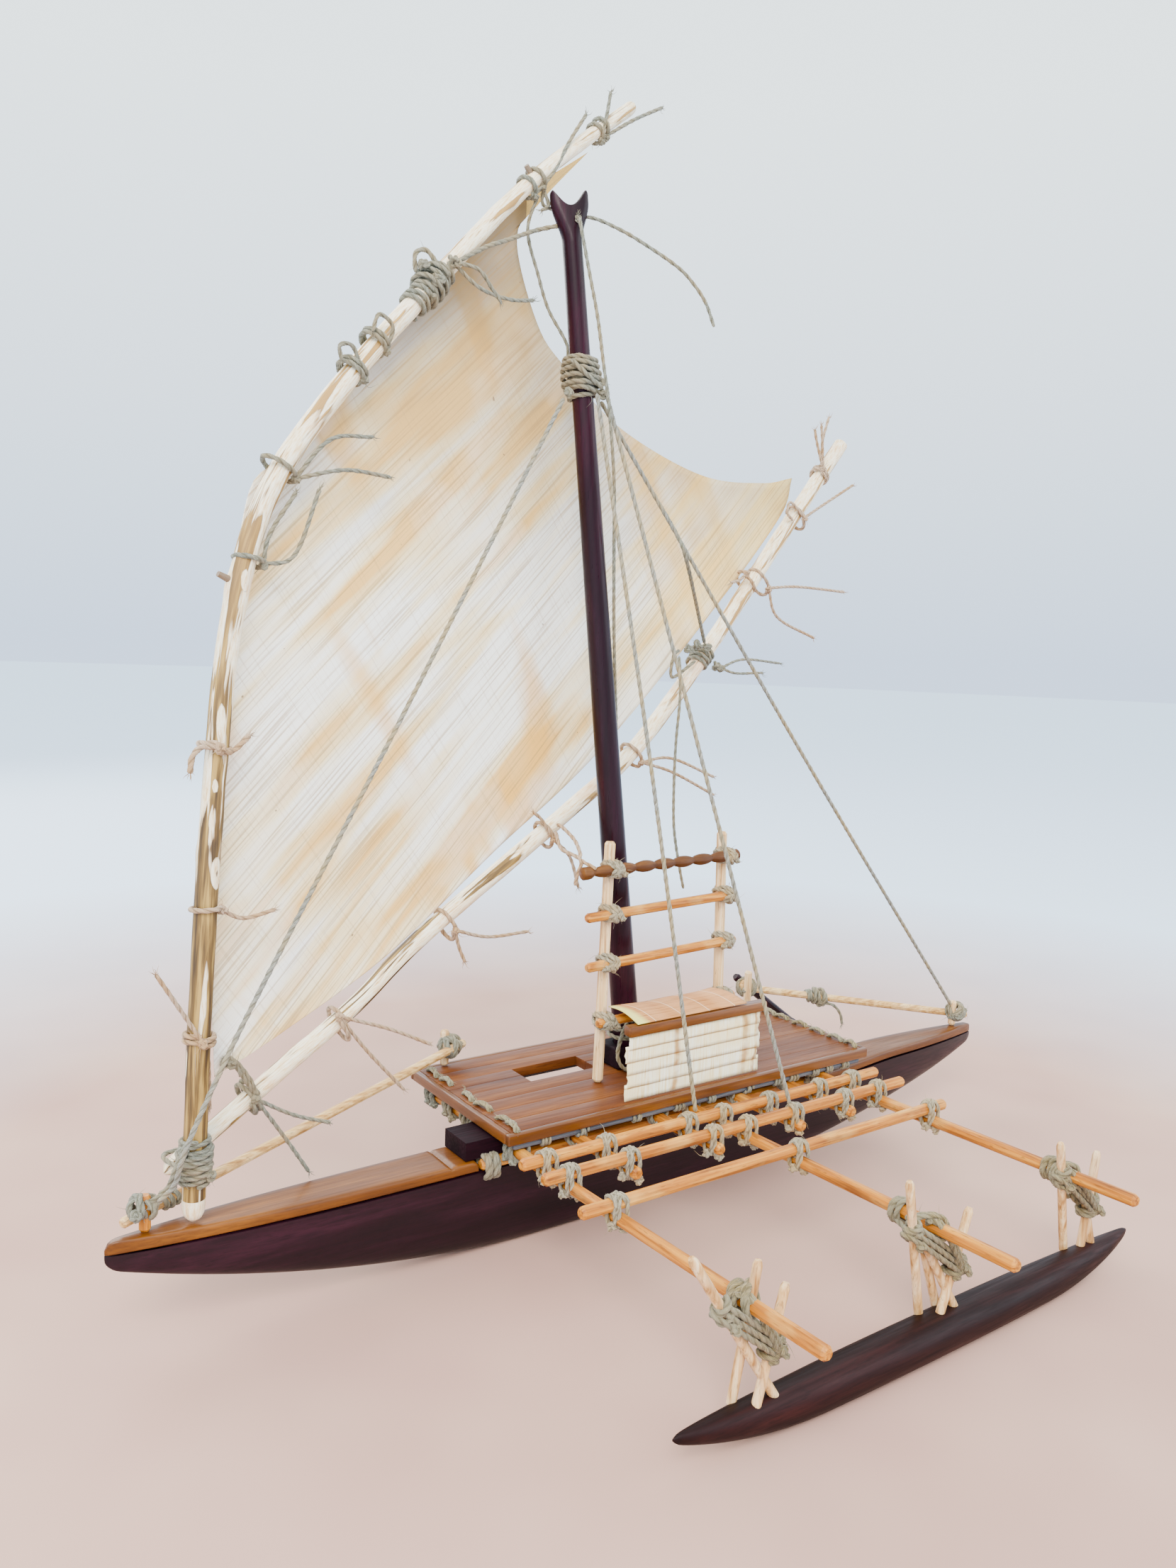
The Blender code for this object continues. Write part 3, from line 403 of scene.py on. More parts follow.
pale_z = stick_wood("pale_stick_upright", "Z", *PALE, 0.55, (0.9, 0.7, 0.46))
float_stick = stick_wood("float_stick", "Z", *PALE_RED, worn=(0.88, 0.68, 0.46))
twine_grey = twine_fibre("grey_twine", *GREY_TWINE, (0.27, 0.2, 0.1))
twine_bone = twine_fibre("bone_twine", *BONE_TWINE, (0.4, 0.27, 0.11))
twine_gold = twine_fibre("golden_twine", *GOLD_TWINE, (0.22, 0.2, 0.13))
twine_pink = twine_fibre("sun_bleached_twine", *PINK_TWINE, (0.4, 0.22, 0.08))
stay_twine = twine_fibre("stay_twine", *STAY_TWINE)
yard_bark = branch_finish("yard_bark", 250, 60, 8.0)
spar_bark = branch_finish("spar_bark", -90, -700)
cloth = sail_cloth()
leaf = leaf_strip()
roof_finish = roof_leaf()


# Shapes

def keep(name, shape, finish, body="canoe", instead_of=(), sharp=40, thick=None):
    """Turn a finished bmesh into a piece that rides on a body.
    A thin sheet keeps its faces open, and a modifier gives it its thickness."""
    mesh = bpy.data.meshes.new(name)
    if thick is None:
        bmesh.ops.remove_doubles(shape, verts=shape.verts, dist=0.001 * MM)
        rims = [edge for edge in shape.edges if edge.is_boundary]
        bmesh.ops.holes_fill(shape, edges=rims, sides=0)
    bmesh.ops.recalc_face_normals(shape, faces=shape.faces)
    shape.to_mesh(mesh)
    shape.free()
    mesh.shade_smooth()
    if thick is None:
        mesh.set_sharp_from_angle(angle=radians(sharp))
    mesh.materials.append(finish)
    piece = bpy.data.objects.new(name, mesh)
    bpy.context.scene.collection.objects.link(piece)
    if thick is not None:
        wall = piece.modifiers.new("thickness", "SOLIDIFY")
        wall.thickness = thick
        wall.offset = 0
    if body:
        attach(piece, body)
    if instead_of:
        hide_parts(*instead_of)
    return piece


def new_shape():
    """An empty bmesh with room for the place of each point on its twine or branch."""
    shape = bmesh.new()
    shape.verts.layers.float_vector.new("lay")
    return shape


def draped_grid(shape, across, around, where):
    """A grid whose points are moved onto a surface: where(u, v) with u and v from 0 to 1."""
    grid = bmesh.ops.create_grid(shape, x_segments=across, y_segments=around, size=0.5)
    for vert in grid["verts"]:
        vert.co = where(vert.co.x + 0.5, vert.co.y + 0.5)
    return grid["verts"]


def cover(name, node, finish, where, across, around, sharp=60):
    """A finer skin in place of a solid."""
    shape = new_shape()
    draped_grid(shape, across, around, where)
    keep(name, shape, finish, instead_of=[node], sharp=sharp)


def smooth(points, step=STEP):
    """Evenly spaced points on a Catmull-Rom curve through the given ones."""
    held = [points[0] * 2 - points[1], *points, points[-1] * 2 - points[-2]]
    dense = []
    for before, start, end, after in zip(held, held[1:], held[2:], held[3:]):
        count = max(2, ceil((end - start).length / (0.5 * step)))
        for i in range(count):
            t = i / count
            dense.append(0.5 * (2 * start + (end - before) * t
                                + (2 * before - 5 * start + 4 * end - after) * t ** 2
                                + (3 * start - before - 3 * end + after) * t ** 3))
    dense.append(points[-1].copy())
    return even(dense, step)


def even(points, step):
    """The same line with its points spread evenly."""
    runs = [0.0]
    for start, end in zip(points, points[1:]):
        runs.append(runs[-1] + (end - start).length)
    count = max(2, round(runs[-1] / step))
    spaced, at = [], 0
    for i in range(count + 1):
        run = runs[-1] * i / count
        while at < len(runs) - 2 and runs[at + 1] < run:
            at += 1
        t = (run - runs[at]) / max(runs[at + 1] - runs[at], 1e-9)
        spaced.append(points[at].lerp(points[at + 1], min(max(t, 0), 1)))
    return spaced


def carried_frames(path):
    """A side and an up direction at each point, carried along without twist."""
    tangents = [(after - before).normalized()
                for before, after in zip([path[0], *path[:-1]], [*path[1:], path[-1]])]
    side = tangents[0].orthogonal().normalized()
    frames, run = [], 0.0
    for i, (point, tangent) in enumerate(zip(path, tangents)):
        side = (side - tangent * side.dot(tangent)).normalized()
        run += (point - path[i - 1]).length if i else 0.0
        frames.append((point, side.copy(), tangent.cross(side), run))
    return frames


def sweep(shape, path, radius, sides, turn=0.0):
    """A bar along a path. radius(t, angle, run) gives its surface, and turn its twist a metre."""
    frames = carried_frames(path)
    steps = len(path) - 1
    lay = shape.verts.layers.float_vector["lay"]
    grid = bmesh.ops.create_grid(shape, x_segments=steps, y_segments=sides, size=0.5)["verts"]
    for vert in grid:
        t = vert.co.x + 0.5
        spin = 2 * pi * (vert.co.y + 0.5)
        centre, side, up, run = frames[round(t * steps)]
        angle = spin + turn * run
        vert.co = centre + (side * cos(angle) + up * sin(angle)) * radius(t, spin, run)
        vert[lay] = Vector((cos(spin), sin(spin), run / MM))


def lay_twine(shape, path, thick=TWINE, step=0.7 * MM, fray=0):
    """Two-strand twine along a path, with loose fibres at its free end."""
    points = even(path, step)
    shift = chance.uniform(0, 50)

    def radius(t, angle, run):
        lump = 1 + 0.1 * noise.noise(Vector((run / MM * 0.35 + shift, shift, 0)))
        end = min(1.0, 0.55 + min(t, 1 - t) * len(points) * 0.45)
        return thick * lump * end * (0.94 + 0.1 * cos(2 * angle))

    sweep(shape, points, radius, 8, turn=2 * pi / TWIST)
    if fray:
        add_fibres(shape, points[-1], (points[-1] - points[-3]).normalized(), fray, thick)
    return points


def any_way(reach=1):
    """A random offset in any direction."""
    return Vector([chance.uniform(-1, 1) * reach for _ in range(3)])


def add_fibres(shape, root, heading, count, thick):
    """Thin loose fibres that fan out from a point."""
    for _ in range(count):
        stray = any_way()
        out = (heading + stray * 0.7).normalized()
        reach = chance.uniform(1.2, 3.2) * MM
        start = root + stray * 0.4 * thick
        path = [start, start + out * reach * 0.5 + stray * 0.2 * reach,
                start + out * reach + stray.cross(out) * 0.3 * reach]
        sweep(shape, smooth(path), lambda t, angle, run: 0.16 * MM * (1.2 - t), 3)


def fluff(shape, centre, spread, count):
    """Stray fibres that stand off a lashing, each rooted in its twine."""
    near = [vert.co.copy() for vert in shape.verts
            if all(abs(gap) < 1.4 * size for gap, size in zip(vert.co - centre, spread))]
    for _ in range(count if near else 0):
        root = chance.choice(near)
        out = (root - centre).normalized()
        bend = any_way()
        reach = chance.uniform(1.5, 4.0) * MM
        path = [root - out * 0.3 * MM, root + (out + bend * 0.5) * reach * 0.5,
                root + (out * 0.6 + bend) * reach]
        sweep(shape, smooth(path, 0.9 * MM), lambda t, angle, run: 0.12 * MM * (1.2 - t), 3)


def softened(value, power=0.72):
    """A sine or cosine made fuller, for a round that leans to a square."""
    return copysign(abs(value) ** power, value)


def ring_turns(centre, first, second, wide, tall, turns, drift, drift_along, start=0.0):
    """Points of turns that go round a softened oval and drift along a direction."""
    count = max(8, round(turns * 22))
    points = []
    for i in range(count + 1):
        t = i / count
        angle = start + 2 * pi * turns * t
        points.append(centre + first * wide * softened(cos(angle))
                      + second * tall * softened(sin(angle)) + drift_along * drift * (t - 0.5))
    return points


def lay_ring(shape, thick, *ring, start=0.0):
    """Twine along the turns of ring_turns."""
    lay_twine(shape, smooth(ring_turns(*ring, start=start)), thick)


def knot_path(centre, size, out):
    """An overhand knot as a clover-leaf line, open where its two ends leave."""
    side = out.orthogonal().normalized()
    up = out.cross(side)
    points = []
    for i in range(31):
        a = 2 * pi * (0.03 + 0.94 * i / 30)
        points.append(centre + (side * (sin(a) + 2 * sin(2 * a)) + up * (cos(a) - 2 * cos(2 * a))
                                - out * 1.1 * sin(3 * a)) * size / 3)
    return points


def tie_knot(shape, centre, out, size=2.0, thick=TWINE, tails=()):
    """A tight knot, its size in mm, with its loose ends, each given by the points it passes."""
    size *= MM
    tilt = any_way(0.5)
    lay_twine(shape, knot_path(centre, size * 0.66, (out + tilt).normalized()), thick)
    lay_twine(shape, knot_path(centre + (out * 0.3 + tilt * 0.5) * size, size * 0.6,
                               (out * 0.4 + tilt + UP * 0.8).normalized()), thick * 0.9)
    for tail in tails:
        lay_twine(shape, smooth([centre, *tail], 0.7 * MM), thick * 0.85, fray=7)


def cross_lash(shape, centre, second, apart, radius_low, knot_side, thick=TWINE, hairs=5, up=UP):
    """Twine round a stick that lies along X and one that crosses it, over one diagonal and then
    over the other, with a knot."""
    tall = apart / 2 + (radius_low + DOWEL) / 2 + 0.7 * thick
    wide = 1.12 * (radius_low + DOWEL) / 2 + thick
    line = []
    for hand in (1, -1):
        diagonal = (X_AXIS + second * hand).normalized()
        across = diagonal.cross(up).normalized()
        drift = 1.7 * thick * 2 * chance.uniform(0.85, 1.15)
        line += ring_turns(centre, diagonal, up, wide, tall, 2, drift, across, -pi / 2)
    line = [point + any_way(0.22 * thick) for point in line]
    lay_twine(shape, smooth(line), thick)
    tie_knot(shape, centre + knot_side * (wide + 0.6 * MM) - up * 0.3 * tall, knot_side, 1.9, thick)
    fluff(shape, centre, Vector((wide, wide, tall)), hairs)


def wind(shape, start, end, radius, turns, thick=TWINE, wobble=0.25):
    """Turns of twine side by side round a stick, its radius in mm."""
    axis = (end - start).normalized()
    side = axis.orthogonal().normalized()
    up = axis.cross(side)
    count = round(turns * 22)
    phase = chance.uniform(0, 2 * pi)
    points = []
    for i in range(count + 1):
        t = i / count
        angle = phase + 2 * pi * turns * t
        uneven = noise.noise(Vector((angle * 0.4, phase, 0)))
        reach = radius * MM + thick * (0.8 + wobble * uneven)
        slip = wobble * thick * 2.4 * noise.noise(Vector((angle * 0.3, 7 + phase, 0)))
        points.append(start.lerp(end, t) + axis * slip
                      + (side * cos(angle) + up * sin(angle)) * reach)
    lay_twine(shape, points, thick)


def free_end(name, points, thick, finish, body):
    """A free end of twine as a piece of its own."""
    shape = new_shape()
    path = lay_twine(shape, smooth(points), thick)
    piece = keep(name, shape, finish, body)
    length = sum((after - before).length for before, after in zip(path, path[1:]))
    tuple(path[0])


# Hull, decks and float

def hull_half_width(x):
    """Nearly even amidships and drawn in at the bow and the stern."""
    return 10 * MM * (1 - (abs(x) / (229.6 * MM)) ** 5.5)


def keel_height(x):
    """The keel's rise towards the bow and the stern from its flat stretch."""
    if x < -57 * MM:
        return 30 * MM * ((-57 * MM - x) / (168 * MM)) ** 1.8
    if x > 50 * MM:
        return 33 * MM * ((x - 50 * MM) / (175 * MM)) ** 1.5
    return 0.0


def sheer(x):
    """The rise of the hull's top towards the stern."""
    t = min(max((x - 102 * MM) / (55 * MM), 0), 1)
    return 2.8 * MM * t * t * (3 - 2 * t)


def nose(x):
    """How full the hull still is at its rounded ends: 1, and 0 at the very tip."""
    inside = max(0.0, (abs(x) - 220.5 * MM) / (4.5 * MM))
    return sqrt(max(0.0, 1 - inside * inside))


def hull_point(u, v):
    """The hull's skin: u from bow to stern, v down one side and up the other."""
    t = 2 * u - 1
    x = copysign(HULL_HALF * MM * sin(abs(t) * pi / 2) ** 0.8, t)
    half, low = hull_half_width(x), keel_height(x)
    high = HULL_TOP * MM + sheer(x)
    low = high - (high - low) * (0.35 + 0.65 * nose(x))
    wide = softened(cos(pi * v), 0.42)
    depth = 1 - abs(sin(pi * v)) ** 0.62
    return Vector((x, half * wide * (0.25 + 0.75 * nose(x)), low + (high - low) * depth))


def deck_point(start, end):
    """A deck's skin: flat underneath, with rounded upper edges and a step before its inner end."""
    def where(u, v):
        x = (start + (end - start) * u) * MM
        step = min(abs(abs(x) - at * MM) for at in DECK_STEPS) / (4 * MM)
        half = hull_half_width(x) * (0.25 + 0.75 * nose(x))
        low = 35.0 * MM + sheer(x)
        high = low + 4.7 * MM * min(1.0, 0.75 + step) * (0.35 + 0.65 * nose(x))
        angle = 2 * pi * v
        return Vector((x, half * softened(cos(angle), 0.28),
                       (low + high) / 2 + (high - low) / 2 * softened(sin(angle), 0.4)))

    return where


def float_point(u, v):
    """The float's skin: round, with its ends turned up and blunt."""
    middle, reach = 15.75, 118.75
    t = copysign(1 - (1 - abs(2 * u - 1)) ** 1.3, 2 * u - 1)
    half = 7.7 * MM * max(1 - abs(t) ** 2.7, 0) ** 0.7 + 0.15 * MM
    rise = 10.5 * MM * (max(abs(t) - 0.5, 0) / 0.5) ** 2
    blunt = max(0.0, (abs(t) - 0.975) / 0.025)
    tall = (13.2 * MM - rise) / 2 * (1 - 0.75 * blunt ** 2)
    rise += 1.1 * MM * blunt ** 2
    angle = 2 * pi * v
    return mm(middle, -145.7, 0) + Vector((t * reach * MM, half * softened(cos(angle), 0.85),
                                           rise + tall * (1 + softened(sin(angle), 0.85))))


# Platform and shelter

def board(shape, low, high, soft=0.6, segments=3):
    """A board with its edges eased, by so many mm."""
    cube = bmesh.ops.create_cube(shape, size=1)["verts"]
    bmesh.ops.scale(shape, vec=high - low, verts=cube)
    bmesh.ops.translate(shape, vec=(low + high) / 2, verts=cube)
    edges = list({edge for vert in cube for edge in vert.link_edges})
    bmesh.ops.bevel(shape, geom=edges, offset=soft * MM, offset_type="OFFSET", segments=segments,
                    profile=0.5, affect="EDGES", material=-1)


PLANK_LINES = (-18.6, -8.2, 2.2, 12.6, 22.9, 31.0, 39.1, 49.2, 59.0)
HATCH = (-45.6, -11.4)
BAND = 2.6


def make_platform():
    """Planks that run fore and aft inside an edge band, with the hatch left open."""
    low, high = PLATFORM_LOW, PLATFORM_TOP
    fore, aft = PLATFORM_X
    inner_fore, inner_aft = fore + BAND, aft - BAND
    planks, sides, ends = new_shape(), new_shape(), new_shape()
    for number, (near, far) in enumerate(zip(PLANK_LINES, PLANK_LINES[1:])):
        runs = [(inner_fore, inner_aft)]
        if 22 < near < 35:
            runs = [(inner_fore, HATCH[0]), (HATCH[1], inner_aft)]
        for start, end in runs:
            board(planks, mm(start + 0.05, near + 0.04, low + 0.1),
                  mm(end - 0.05, far - 0.04, high - 0.1 + 0.05 * (number % 2)), 0.15, 2)
    for near, far in ((PLATFORM_Y[0], PLANK_LINES[0]), (PLANK_LINES[-1], PLATFORM_Y[1])):
        board(sides, mm(fore + 0.05, near, low), mm(aft, far, high))
    for start, end in ((fore, inner_fore), (inner_aft, aft)):
        board(ends, mm(start, PLANK_LINES[0] + 0.08, low), mm(end, PLANK_LINES[-1] - 0.08, high))
    keep("platform_planks", planks, plank_wood, instead_of=["platform"])
    keep("platform_side_bands", sides, edge_wood)
    keep("platform_end_bands", ends, edge_wood_across)


def hold_sheet(name, shape, finish, thick, node, body="canoe"):
    """Keep a thin sheet, given its thickness, in place of a solid."""
    area = sum(face.calc_area() for face in shape.faces)
    piece = keep(name, shape, finish, body, [node], thick=thick)


WALL_LOW, WALL_HIGH, WALL_OVERLAP = 52.95, 80.1, 1.6
WALL_ROWS = ((-25.5, 49.3), (-24.3, 48.1), (-24.6, 49.5), (-25.7, 48.6), (-23.9, 49.1))


def make_shelter():
    """A front board, a thin arched roof and a wall of overlapping leaf strips under the board."""
    shape = new_shape()
    board(shape, mm(-24.5, -18.4, 80.4), mm(52, -13.4, 84.6), 0.5, 2)
    keep("shelter_front_board", shape, edge_wood, instead_of=["cabin_fascia"])

    def roof_point(u, v):
        arch = 1.5 * sin(pi * v)
        curl = 0.6 * (2 * u - 1) ** 4 + 0.15 * sin(u * 14)
        skew = 2.4 * v * (1 - u)
        return mm(-20.2 + 60.7 * u + skew, -17.2 + 24.0 * v, 85.2 + arch + curl * v)

    roof = new_shape()
    draped_grid(roof, 36, 14, roof_point)
    hold_sheet("shelter_roof_sheet", roof, roof_finish, 0.4 * MM, "cabin_roof")
    wall = new_shape()
    step = 27.1 / len(WALL_ROWS)
    for row, (fore, aft) in enumerate(WALL_ROWS):
        low = WALL_LOW + 27.1 * row / len(WALL_ROWS)
        high = min(low + step + WALL_OVERLAP, WALL_HIGH)

        def wall_point(u, v):
            ripple = 0.15 * noise.noise(Vector((u * 9, row, v)))
            end = 0.9 * noise.noise(Vector((v * 3, row * 5, 1))) * (2 * u - 1) ** 8
            slope = 0.5 * sin(row * 2.1) * (u - 0.5)
            return mm(fore + (aft - fore) * u + end, -16.7 - 0.22 * (1 - v) ** 0.6 + ripple,
                      low + (high - low) * v + slope)

        draped_grid(wall, 40, 4, wall_point)
    hold_sheet("shelter_wall_strips", wall, leaf, 0.35 * MM, "cabin_wall")


# Mast

def make_mast():
    """The mast as one smooth tapered pole."""
    shape = new_shape()
    path = even([MAST_FOOT, MAST_HEAD + LEAN * 0.5 * MM], 6 * MM)
    foot, head = MAST_FOOT.z / MM, MAST_HEAD.z / MM
    sweep(shape, path, lambda t, angle, run: mast_radius(foot + (head - foot) * t), 36)
    keep("mast_pole", shape, mast_wood, instead_of=["mast"], sharp=50)


def make_fork():
    """Mast head: a smooth neck that swells into two blunt horns round a hollow."""
    tall, span, hollow, neck = 19.0, 7.75, 5.6, 4.02

    def where(u, v):
        c, d = cos(2 * pi * v), sin(2 * pi * v)
        if u < 0.25:
            return fork(neck * c, neck * d, -6 + 6 * u / 0.25)
        t = min(1.0, (u - 0.25) / 0.6)
        closing = max(0.0, (u - 0.85) / 0.15)
        flare = min(1.0, t / 0.85)
        wide = (neck + (span - neck) * flare * flare * (3 - 2 * flare)) * softened(c, 1 - 0.15 * t)
        share = abs(softened(c, 0.85))
        rim = tall - hollow * max(0.0, 1 - (share / 0.9) ** 2) ** 1.35
        rim -= 1.4 * max(0.0, (share - 0.9) / 0.1) ** 2
        deep = (neck - 1.3 * t ** 1.3) * softened(d, 1 - 0.25 * t)
        round_off = sqrt(max(0.0, 1 - closing * closing))
        return fork(wide * (1 - 0.05 * closing ** 2), deep * round_off, rim * t + 0.7 * closing)

    cover("mast_head_fork", "mast_fork", mast_wood, where, 56, 56, sharp=50)


# Yard, boom spar and sail. A branch's line has its places in the rig's plane and its radius.

YARD_LINE = ((0, 40.5, 3.2), (0.4, 46, 4.0), (1.2, 75, 4.0), (3.3, 120, 4.0), (8.2, 191, 3.9),
             (14.5, 243, 3.9), (27, 284, 3.9), (52, 320, 3.8), (95, 368, 3.6), (147, 421.5, 3.1),
             (203, 467.5, 2.7))
SPAR_LINE = ((-5.9, 56.5, 3.3), (37, 81, 3.4), (71, 100, 3.5), (104, 122.5, 3.6), (183, 166, 3.8),
             (228, 193.5, 3.9), (279, 241, 4.0), (333.5, 298, 4.1), (390, 356.2, 4.0))


def branch_path(line, first_aside, last_aside):
    """A branch's line in space, off the rig's plane by so much at its two ends."""
    points = []
    for s, z, _ in line:
        share = (s - line[0][0]) / (line[-1][0] - line[0][0])
        points.append(rig(s, z, first_aside + (last_aside - first_aside) * share))
    return smooth(points, 1.6 * MM)


def branch_radius(line, t):
    """A branch's radius in mm at a share of its length."""
    runs = [0.0]
    for (s0, z0, _), (s1, z1, _) in zip(line, line[1:]):
        runs.append(runs[-1] + hypot(s1 - s0, z1 - z0))
    run = t * runs[-1]
    i = 0
    while i < len(line) - 2 and run > runs[i + 1]:
        i += 1
    share = (run - runs[i]) / (runs[i + 1] - runs[i])
    return line[i][2] + (line[i + 1][2] - line[i][2]) * share


def make_branch(name, line, asides, finish, swellings, node, tip, eyes=()):
    """A natural stick: a little uneven, with swellings at its old twigs and cut ends.
    Its eyes are peeled spots: each a place in the rig's plane, its length and its width."""
    path = branch_path(line, *asides)
    length = sum((b - a).length for a, b in zip(path, path[1:])) / MM

    def radius(t, angle, run):
        run /= MM
        size = branch_radius(line, t) * 0.97
        size *= 1 + 0.045 * noise.noise(Vector((cos(angle), sin(angle), run * 0.06)) * 1.4)
        for at, side, swell in swellings:
            near = exp(-((run - at) / 4.5) ** 2)
            size += swell * near * max(0.0, cos(angle - side)) ** 2
        start, end = tip
        if run < start:
            size *= 0.25 + 0.75 * (run / start) ** 0.7
        if length - run < end:
            size *= 0.55 + 0.45 * ((length - run) / end) ** 0.5
        return size * MM

    shape = new_shape()
    sweep(shape, path, radius, 24)
    eye = shape.verts.layers.float.new("eye")
    spots = [(rig(s, z, aside), long, wide) for s, z, aside, long, wide in eyes]
    for vert in shape.verts:
        vert[eye] = 5.0
        for spot, long, wide in spots:
            away = (vert.co - spot) / MM
            rise = away.dot(UP)
            vert[eye] = min(vert[eye], hypot(rise / long, (away - UP * rise).length / wide))
    keep(name, shape, finish, "rig", [node], sharp=70)


def make_spars():
    """The yard, the boom spar and the two twig stubs left on the yard."""
    make_branch("yard_branch", YARD_LINE, (0, 0), yard_bark,
                ((126, 1.2, 0.9), (158, 4.0, 0.5), (214, 2.4, 0.7), (300, 0.5, 0.5),
                 (402, 3.3, 0.5)),
                "yard", (2.2, 2.2),
                ((7.0, 160, -4, 5.6, 2.4), (8.6, 209, -3.9, 7.5, 1.7), (17.2, 256, -3.9, 4, 1.6),
                 (6.6, 189, -3.2, 2.6, 1.0)))
    make_branch("boom_spar_branch", SPAR_LINE, (8, 2), spar_bark,
                ((60, 0.4, 0.3), (182, 2.0, 0.45), (272, 4.4, 0.4), (372, 1.0, 0.5)),
                "boom_spar", (3, 1.6))
    twig = new_shape()
    for where, heading, long, thick in ((rig(15.4, 255.5), -ALONG * 0.9 + UP * 0.35, 6.6, 1.25),
                                        (rig(146, 420.5), -ALONG * 0.8 + UP * 0.7, 5.6, 1.3)):
        path = smooth([where, where + heading * long * MM], 0.7 * MM)
        sweep(twig, path, lambda t, angle, run, r=thick: r * MM * (1.15 - 0.35 * t), 10)
    keep("yard_twig_stubs", twig, yard_bark, "rig")


LUFF = ((11, 87), (10, 142), (17, 237), (23, 284), (35, 299), (53, 324), (93, 367), (131, 405),
        (181, 443))
LEECH = ((347, 332), (320, 326), (269, 323), (210, 335), (173, 354), (155, 368), (142, 398),
         (155, 416), (181, 443))
FOOT = ((11, 87), (38, 97), (85, 118), (140, 153), (202, 192), (279, 256), (337, 310), (347, 332))


def edge_line(points):
    """An edge of the sail, as a function from 0 to 1 to the place along it."""
    path = smooth([Vector((s, z, 0)) for s, z in points], 1.0)
    runs = [0.0]
    for a, b in zip(path, path[1:]):
        runs.append(runs[-1] + (b - a).length)

    def at(t):
        run = t * runs[-1]
        low = min(max(bisect_right(runs, run) - 1, 0), len(runs) - 2)
        share = (run - runs[low]) / max(runs[low + 1] - runs[low], 1e-9)
        return path[low].lerp(path[low + 1], share)

    return at


def make_sail():
    """One patch of cloth between the luff, the foot and the hollow leech."""
    foot, luff, leech = edge_line(FOOT), edge_line(LUFF), edge_line(LEECH)
    tack = foot(0)
    shape = new_shape()

    def where(u, v):
        corners = (foot(1) * (1 - v) + luff(1) * v) * u + tack * (1 - u)
        spot = foot(u) * (1 - v) + luff(u) * v + leech(v) * u + tack * (1 - u) - corners
        belly = 1.6 * sin(pi * min(u * 1.15, 1)) * sin(pi * v)
        belly += 0.5 * noise.noise(Vector((spot.x * 0.02, spot.y * 0.02, 3)))
        return Vector((spot.x, spot.y, belly))

    verts = draped_grid(shape, 110, 90, where)
    weave = shape.loops.layers.uv.new("weave")
    for face in shape.faces:
        for loop in face.loops:
            loop[weave].uv = (loop.vert.co.x * MM, loop.vert.co.y * MM)
    for vert in verts:
        vert.co = rig(vert.co.x, vert.co.y, 4.9 + vert.co.z)
    bmesh.ops.remove_doubles(shape, verts=shape.verts, dist=0.01 * MM)
    hold_sheet("sail_cloth", shape, cloth, 0.35 * MM, "sail",
               "rig")


# Ties of the sail. Each row of a table holds what tie() takes after its shape, and the rows of
# the yard leave out how far aside it is. A tail from FREE_END up is a piece of its own.

FREE_END = 42 * MM


def tie(shape, at, aside, slope, knot_at, tails, turns=1, loose=0, radius=4.0, thick=TWINE):
    """A turn of twine round a branch with a knot where it closes. Places are in the rig's plane,
    in mm, and the last number of each tail point is how far it stands off towards the front.
    Tails too long to belong to the tie are handed back as lines for free ends."""
    along = (ALONG * slope[0] + UP * slope[1]).normalized()
    toward = ASIDE.cross(along)
    stick = rig(*at, aside)
    centre = stick + toward * loose * 0.5 * MM
    reach = radius * MM + 0.8 * thick
    wide = reach + abs(loose) * 0.5 * MM
    share = max(-0.97, min(0.97, (rig(*knot_at, aside) - centre).dot(toward) / wide))
    start = -acos(share)
    count = round(turns * 26)
    line = []
    for i in range(count + 1):
        angle = start + 2 * pi * turns * i / count
        slack = 1 + 0.05 * noise.noise(Vector((angle, at[0], at[1])))
        line.append(centre + (toward * cos(angle) * wide + ASIDE * sin(angle) * reach) * slack
                    + along * (i / count - 0.5) * 2.1 * thick * turns)
    lay_twine(shape, smooth(line), thick)
    knot = line[0].lerp(line[-1], 0.5) - ASIDE * 0.5 * thick
    far = [[rig(s, z, aside - 2.5 - lift) for s, z, lift in tail] for tail in tails]
    long = [tail for tail in far if (tail[-1] - knot).length > FREE_END]
    tie_knot(shape, knot, (knot - stick).normalized(), 1.75, thick,
             [tail for tail in far if tail not in long])
    for tail in long:
        add_fibres(shape, tail[-1], (tail[-1] - tail[-2]).normalized(), 6, thick)
    fluff(shape, knot, mm(2, 2, 2), 5)
    return [[knot, *tail] for tail in long]


